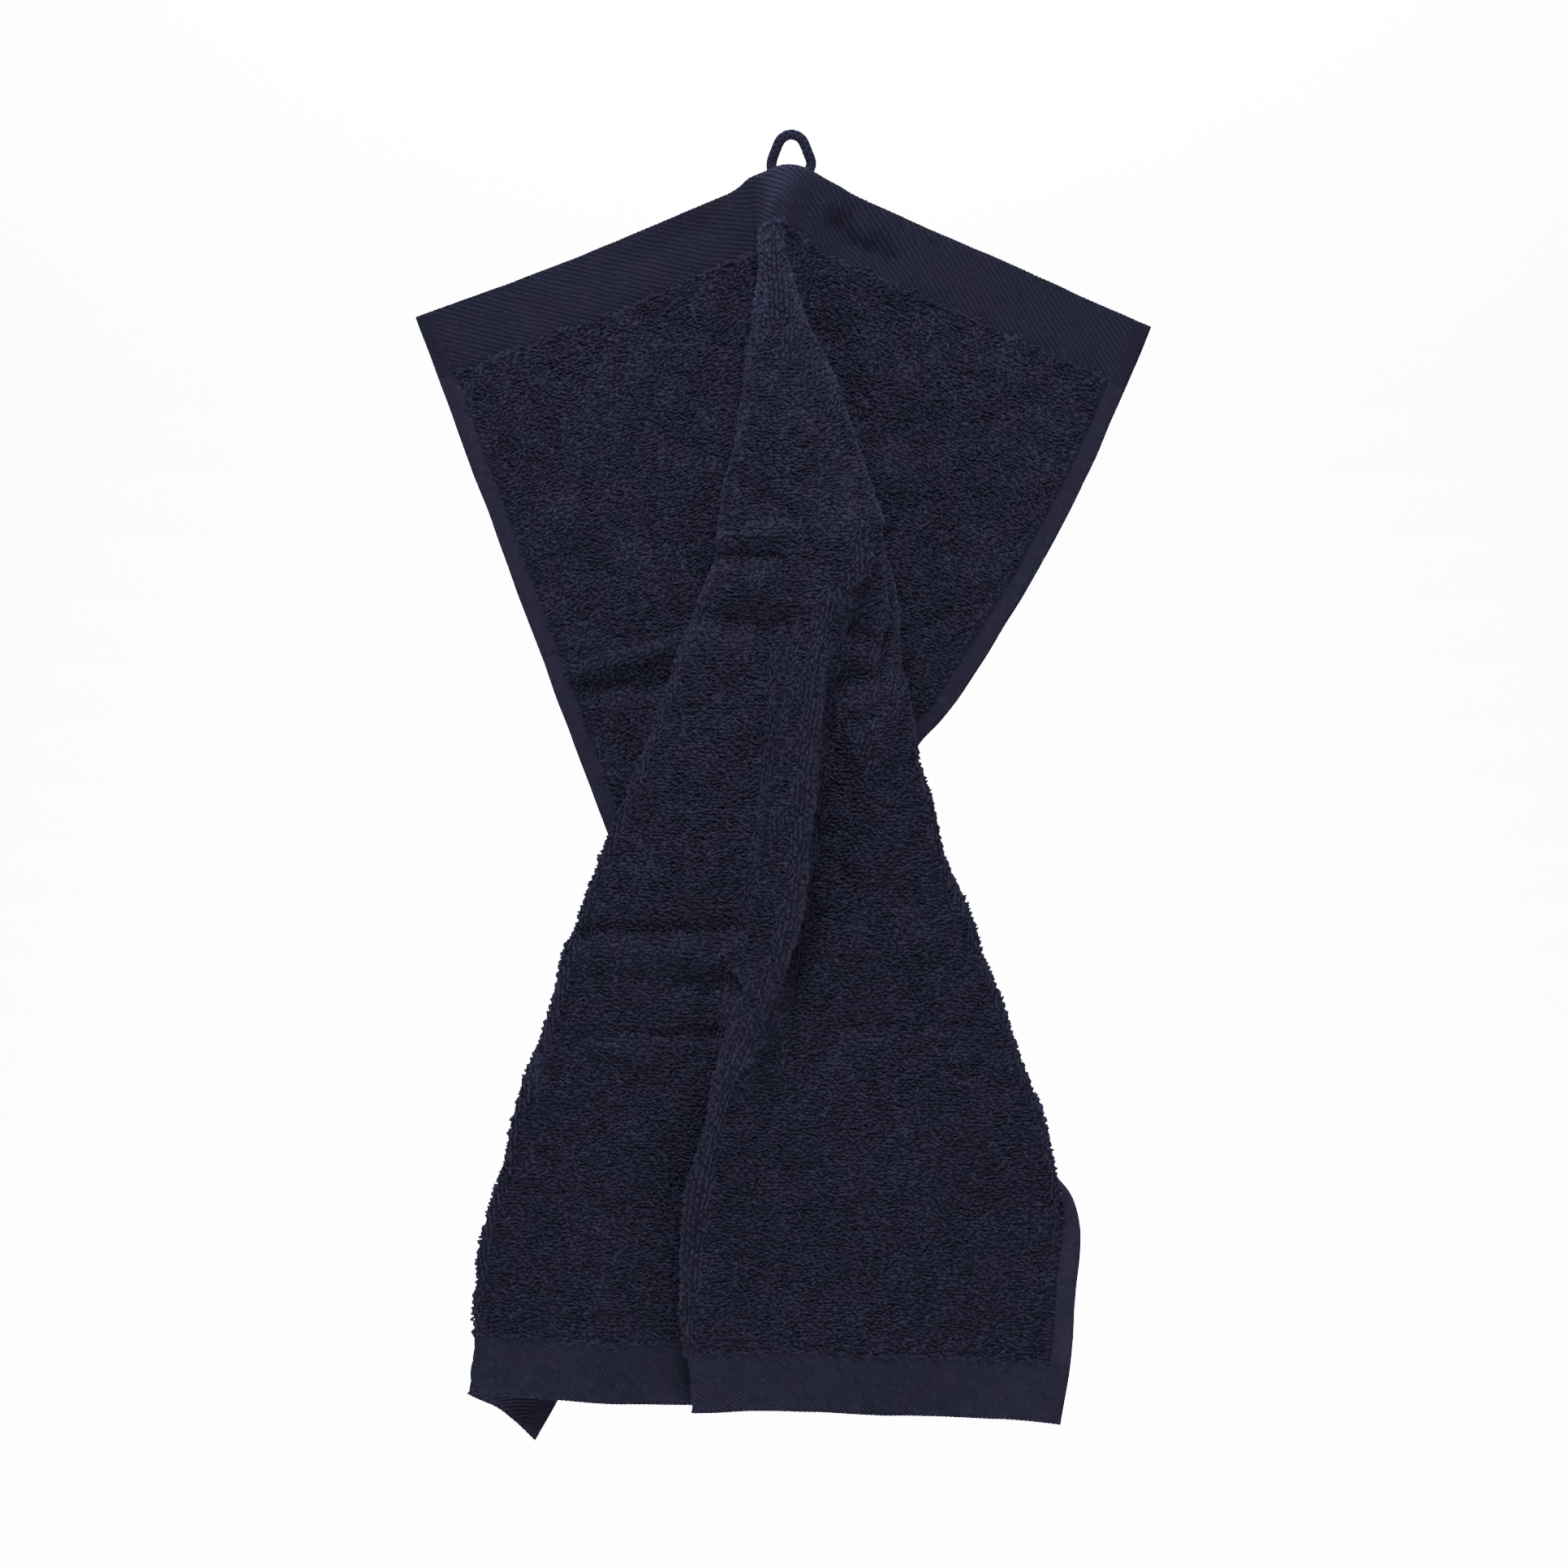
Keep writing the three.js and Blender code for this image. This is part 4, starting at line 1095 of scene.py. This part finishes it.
class TOWEL_OT_stitches(bpy.types.Operator):
    """Stitches on both faces: threads along the side hems, and yarns over the top and bottom edges."""

    bl_idname = "towel.stitches"
    bl_label = "Hem and edge stitches"

    def execute(self, context):
        sizes, colours = context.scene.towel_sizes, context.scene.towel_colours
        count = int(sizes.length / sizes.stitch_length)
        start = np.arange(count) * sizes.stitch_length + HEM_STITCH_START * sizes.stitch_length
        end = start + HEM_STITCH_SHARE * sizes.stitch_length
        hem_runs = []
        for edge in (-1.0, 1.0):
            across = np.full(count, edge * (sizes.width / 2 - sizes.side_hem + HEM_STITCH_INSET))
            hem_runs.append(((across, start), (across, end)))
        sew("hem_stitches", thread_material(colours), sizes, hem_runs, **HEM_STITCH)
        count = int(sizes.width / EDGE_STITCH_PITCH)
        across = -sizes.width / 2 + (np.arange(count) + EDGE_STITCH_START) * EDGE_STITCH_PITCH
        edge_runs = []
        for edge, inward in ((0.0, 1.0), (sizes.length, -1.0)):
            start = np.full(count, edge - inward * EDGE_STITCH_OUT)
            end = np.full(count, edge + inward * EDGE_STITCH_IN)
            edge_runs.append(((across, start), (across + EDGE_STITCH_SLANT, end)))
        sew("edge_stitches", edge_material(colours), sizes, edge_runs, **EDGE_STITCH)
        return {"FINISHED"}


# The loop's cord, in millimetres: the free part of its centre line from the cloth to the crown, where its
# legs are sewn, and the braid. The curve is worked out at CURVE_SHARE times as many points as it has rings.
LOOP_CROWN_HALF = [
    dict(right=9.4, back=1.2, up=-11.5),
    dict(right=7.7, back=0.3, up=-5.8),
    dict(right=4.5, back=0.0, up=0.5),
]
LEG_ACROSS = 9.5
LEG_SEWN_DOWN = (9, 6.5, 4)
SEAT_GAP = 0.9
CORD_SIDES = 40
CORD_RINGS = 300
CURVE_SHARE = 6
BRAID_TURNS = 24
BRAID_STRANDS = 4
BRAID_FULLNESS = 1.03
BRAID_DEPTH = 0.07
POLE_RISE = 0.3


def centripetal_curve(knots, count):
    """Catmull-Rom curve through the knots with centripetal spacing, at count even steps of length."""
    ends = np.concatenate([[2 * knots[0] - knots[1]], knots, [2 * knots[-1] - knots[-2]]])
    t = np.concatenate([[0], np.cumsum(np.linalg.norm(np.diff(ends, axis=0), axis=1) ** 0.5)])
    at = np.linspace(t[1], t[-2], count * CURVE_SHARE)
    k = np.clip(np.searchsorted(t, at, side="right") - 1, 1, len(knots) - 1)

    def blend(p, q, i, j):
        w = ((at - t[i]) / (t[j] - t[i]))[:, None]
        return p * (1 - w) + q * w

    a1 = blend(ends[k - 1], ends[k], k - 1, k)
    a2 = blend(ends[k], ends[k + 1], k, k + 1)
    a3 = blend(ends[k + 1], ends[k + 2], k + 1, k + 2)
    b1 = blend(a1, a2, k - 1, k + 1)
    b2 = blend(a2, a3, k, k + 2)
    curve = blend(b1, b2, k, k + 1)
    length = np.concatenate([[0], np.cumsum(np.linalg.norm(np.diff(curve, axis=0), axis=1))])
    even = np.linspace(0, length[-1], count)
    return np.stack([np.interp(even, length, curve[:, c]) for c in range(3)], -1)


def tube_frames(centre):
    """Two directions across a curve that stays near one upright plane: backwards and sideways."""
    tangent = unit(np.gradient(centre, axis=0))
    back = unit(np.array([0.0, 1.0, 0.0]) - tangent * tangent[:, 1:2])
    return back, np.cross(tangent, back)


class TOWEL_OT_loop(bpy.types.Operator):
    """Hanging loop: a braided cord whose radius follows two crossing sets of helical strands."""

    bl_idname = "towel.loop"
    bl_label = "Cord loop"

    def execute(self, context):
        sizes, colours = context.scene.towel_sizes, context.scene.towel_colours
        radius = sizes.cord_diameter / 2
        legs, crowns = [], []
        for side in (-1, 1):
            down = mm(np.array(LEG_SEWN_DOWN, float))
            across = np.full(len(down), side * mm(LEG_ACROSS))
            place, normal = cloth_map().sample(across, down)
            reach = sheet_thickness(across, down, sizes) / 2 + mm(SEAT_GAP) + radius
            legs.append(place - normal * reach[:, None])
            crowns.append(mm(np.array([(side * p["right"], p["back"], p["up"]) for p in LOOP_CROWN_HALF])))
        top = np.array([[0, 0, radius]])
        knots = np.concatenate([legs[0], crowns[0], top, crowns[1][::-1], legs[1][::-1]])
        centre = centripetal_curve(knots, CORD_RINGS)
        back, side = tube_frames(centre)
        s = np.linspace(0, 1, CORD_RINGS)[:, None]
        turn = 2 * np.pi * np.arange(CORD_SIDES)[None] / CORD_SIDES
        right_lay = np.sin(BRAID_STRANDS * turn + 2 * np.pi * BRAID_TURNS * s)
        left_lay = np.sin(BRAID_STRANDS * turn - 2 * np.pi * BRAID_TURNS * s)
        braid = np.maximum(right_lay, left_lay)
        shape = radius * (BRAID_FULLNESS + BRAID_DEPTH * braid)
        ring = back[:, None] * np.cos(turn)[..., None] + side[:, None] * np.sin(turn)[..., None]
        tube = (centre[:, None] + ring * shape[..., None]).reshape(-1, 3)
        points = np.concatenate([tube, centre[:1], centre[-1:]])
        first_pole, last_pole = (np.full(CORD_SIDES, len(tube) + n) for n in (0, 1))
        here, last = np.arange(CORD_SIDES), (CORD_RINGS - 1) * CORD_SIDES
        after = (here + 1) % CORD_SIDES
        quads = ring_faces(CORD_RINGS, CORD_SIDES)
        triangles = np.concatenate([
            quads[:, [0, 1, 2]],
            quads[:, [0, 2, 3]],
            np.stack([first_pole, after, here], -1),
            np.stack([last_pole, last + here, last + after], -1),
        ])
        # The braid's height, kept as rise, sets the cord's painted shade and light
        rise = np.concatenate([(0.5 + 0.5 * braid).ravel(), [POLE_RISE, POLE_RISE]])
        loop = make_piece("cord_loop", points, triangles, cord_material(colours),
                          attributes={"rise": rise})
        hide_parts(LOOP_NODE)
        return {"FINISHED"}


class TOWEL_OT_stage(bpy.types.Operator):
    """Pale floor that curves up into a backdrop, soft lights and the photograph's camera."""

    bl_idname = "towel.stage"
    bl_label = "Stage, lights and camera"

    def execute(self, context):
        make_backdrop()
        make_lights(context)
        make_camera(context)
        return {"FINISHED"}


def backdrop_material():
    """Backdrop paint with a very faint mottling, clear from behind so that the towel's back can be seen."""
    material, nodes, shader = new_material("backdrop_paint", roughness=0.9, sheen=0.0)
    mottled = nodes.mix(
        nodes.noise(nodes.place(), scale=3.0), shade(BACKDROP_COLOUR), shade(BACKDROP_COLOUR, MOTTLED_SHADE))
    nodes.feed(mottled, shader["Base Color"])
    behind = nodes.add("ShaderNodeNewGeometry").outputs["Backfacing"]
    nodes.feed(nodes.math("SUBTRACT", 1.0, behind), shader["Alpha"])
    return material


# The stage, in metres
BACKDROP_FLOOR = -0.80
BACKDROP_DEPTH = 1.6
BACKDROP_HEIGHT = 2.6
BACKDROP_WIDTH = 7.0
BACKDROP_FRONT = -3.4
BACKDROP_BEND = 0.8
BEND_POINTS = 25
WIDTH_POINTS = 9
BACKDROP_COLOUR = (0.95, 0.95, 0.95)
MOTTLED_SHADE = 0.985


def make_backdrop():
    """Floor and wall in one sheet: a straight floor, a quarter circle and a straight wall, swept sideways."""
    turn = np.linspace(0, np.pi / 2, BEND_POINTS)
    bend_y = BACKDROP_DEPTH - BACKDROP_BEND + BACKDROP_BEND * np.sin(turn)
    bend_z = BACKDROP_FLOOR + BACKDROP_BEND * (1 - np.cos(turn))
    y = np.concatenate([[BACKDROP_FRONT], bend_y, [BACKDROP_DEPTH]])[:, None]
    z = np.concatenate([[BACKDROP_FLOOR], bend_z, [BACKDROP_HEIGHT]])[:, None]
    x = np.linspace(-BACKDROP_WIDTH / 2, BACKDROP_WIDTH / 2, WIDTH_POINTS)
    points = np.stack(np.broadcast_arrays(x, y, z), -1).reshape(-1, 3)
    faces = grid_faces(len(y), len(x), turned=True)
    mesh = bpy.data.meshes.new("backdrop")
    mesh.from_pydata(points.tolist(), [], faces.tolist())
    mesh.materials.append(backdrop_material())
    backdrop = bpy.data.objects.new("backdrop", mesh)
    bpy.context.collection.objects.link(backdrop)


# Places and aims in metres, spread in degrees, power in watts
LIGHTS = [
    dict(name="key", place=(0.0, -1.25, 0.95), aim=(0.0, 0.0, 0.0), size=0.8, spread=80, power=24.8),
    dict(name="fill", place=(-1.8, -2.2, 0.2), aim=(0.0, 0.0, -0.32), size=1.8, spread=180, power=12.0),
    dict(name="wall", place=(0.0, 0.8, 1.2), aim=(0.0, 1.6, -0.5), size=1.4, spread=180, power=520.0),
]
WORLD_STRENGTH = 0.42


def make_lights(context):
    """Soft square lights aimed at the towel and the wall, and an even pale sky."""
    for entry in LIGHTS:
        data = bpy.data.lights.new(entry["name"], "AREA")
        data.shape = "SQUARE"
        data.size = entry["size"]
        data.spread = math.radians(entry["spread"])
        data.energy = entry["power"]
        light = bpy.data.objects.new(entry["name"], data)
        light.location = entry["place"]
        toward = Vector(entry["aim"]) - Vector(entry["place"])
        light.rotation_euler = toward.to_track_quat("-Z", "Y").to_euler()
        context.collection.objects.link(light)
    world = bpy.data.worlds.new("studio")
    world.use_nodes = True
    sky = world.node_tree.nodes["Background"].inputs
    sky["Color"].default_value = (1.0, 1.0, 1.0, 1.0)
    sky["Strength"].default_value = WORLD_STRENGTH
    context.scene.world = world


def make_camera(context):
    """Level camera in front, framed as the photograph: it sees the photograph's whole side at its scale."""
    centre_px = PHOTO_SIDE_PX / 2
    data = bpy.data.cameras.new("photo_view")
    data.sensor_width = SENSOR_WIDTH_MM
    data.lens = SENSOR_WIDTH_MM * CAMERA_DISTANCE / mm(PHOTO_SIDE_PX * PHOTO_MM_PER_PX)
    data.clip_start, data.clip_end = CAMERA_CLIP
    camera = bpy.data.objects.new("photo_view", data)
    camera.location = (
        mm((centre_px - CROWN_PX[0]) * PHOTO_MM_PER_PX),
        -CAMERA_DISTANCE,
        -mm((centre_px - CROWN_PX[1]) * PHOTO_MM_PER_PX),
    )
    camera.rotation_euler = (math.pi / 2, 0, 0)
    context.collection.objects.link(camera)
    context.scene.camera = camera


class TOWEL_OT_declare(bpy.types.Operator):
    """Lists the names of the pile and stitch pieces, and does nothing more with them."""

    bl_idname = "towel.declare"
    bl_label = "Declare the cloth"

    def execute(self, context):
        on_it = [o.name for o in bpy.data.objects if o.name.startswith("pile_")]
        on_it += ["hem_stitches", "edge_stitches"]
        return {"FINISHED"}


STEPS = ("sheet", "pile", "stitches", "loop", "declare", "stage")


class TOWEL_PT_panel(bpy.types.Panel):
    """Sizes, colours and the steps that build the towel."""

    bl_idname = "TOWEL_PT_panel"
    bl_label = "Towel"
    bl_space_type = "VIEW_3D"
    bl_region_type = "UI"
    bl_category = "Towel"

    def draw(self, context):
        for group in (context.scene.towel_sizes, context.scene.towel_colours):
            box = self.layout.box()
            for key in group.__annotations__:
                box.prop(group, key)
        for step in STEPS:
            self.layout.operator(f"towel.{step}")


CLASSES = (
    TowelSizes,
    TowelColours,
    TOWEL_OT_sheet,
    TOWEL_OT_pile,
    TOWEL_OT_stitches,
    TOWEL_OT_loop,
    TOWEL_OT_declare,
    TOWEL_OT_stage,
    TOWEL_PT_panel,
)


def register():
    for cls in CLASSES:
        bpy.utils.register_class(cls)
    bpy.types.Scene.towel_sizes = bpy.props.PointerProperty(type=TowelSizes)
    bpy.types.Scene.towel_colours = bpy.props.PointerProperty(type=TowelColours)


def unregister():
    del bpy.types.Scene.towel_colours
    del bpy.types.Scene.towel_sizes
    for cls in reversed(CLASSES):
        bpy.utils.unregister_class(cls)


def main():
    register()
    for step in STEPS:
        getattr(bpy.ops.towel, step)()


if __name__ == "__main__":
    main()
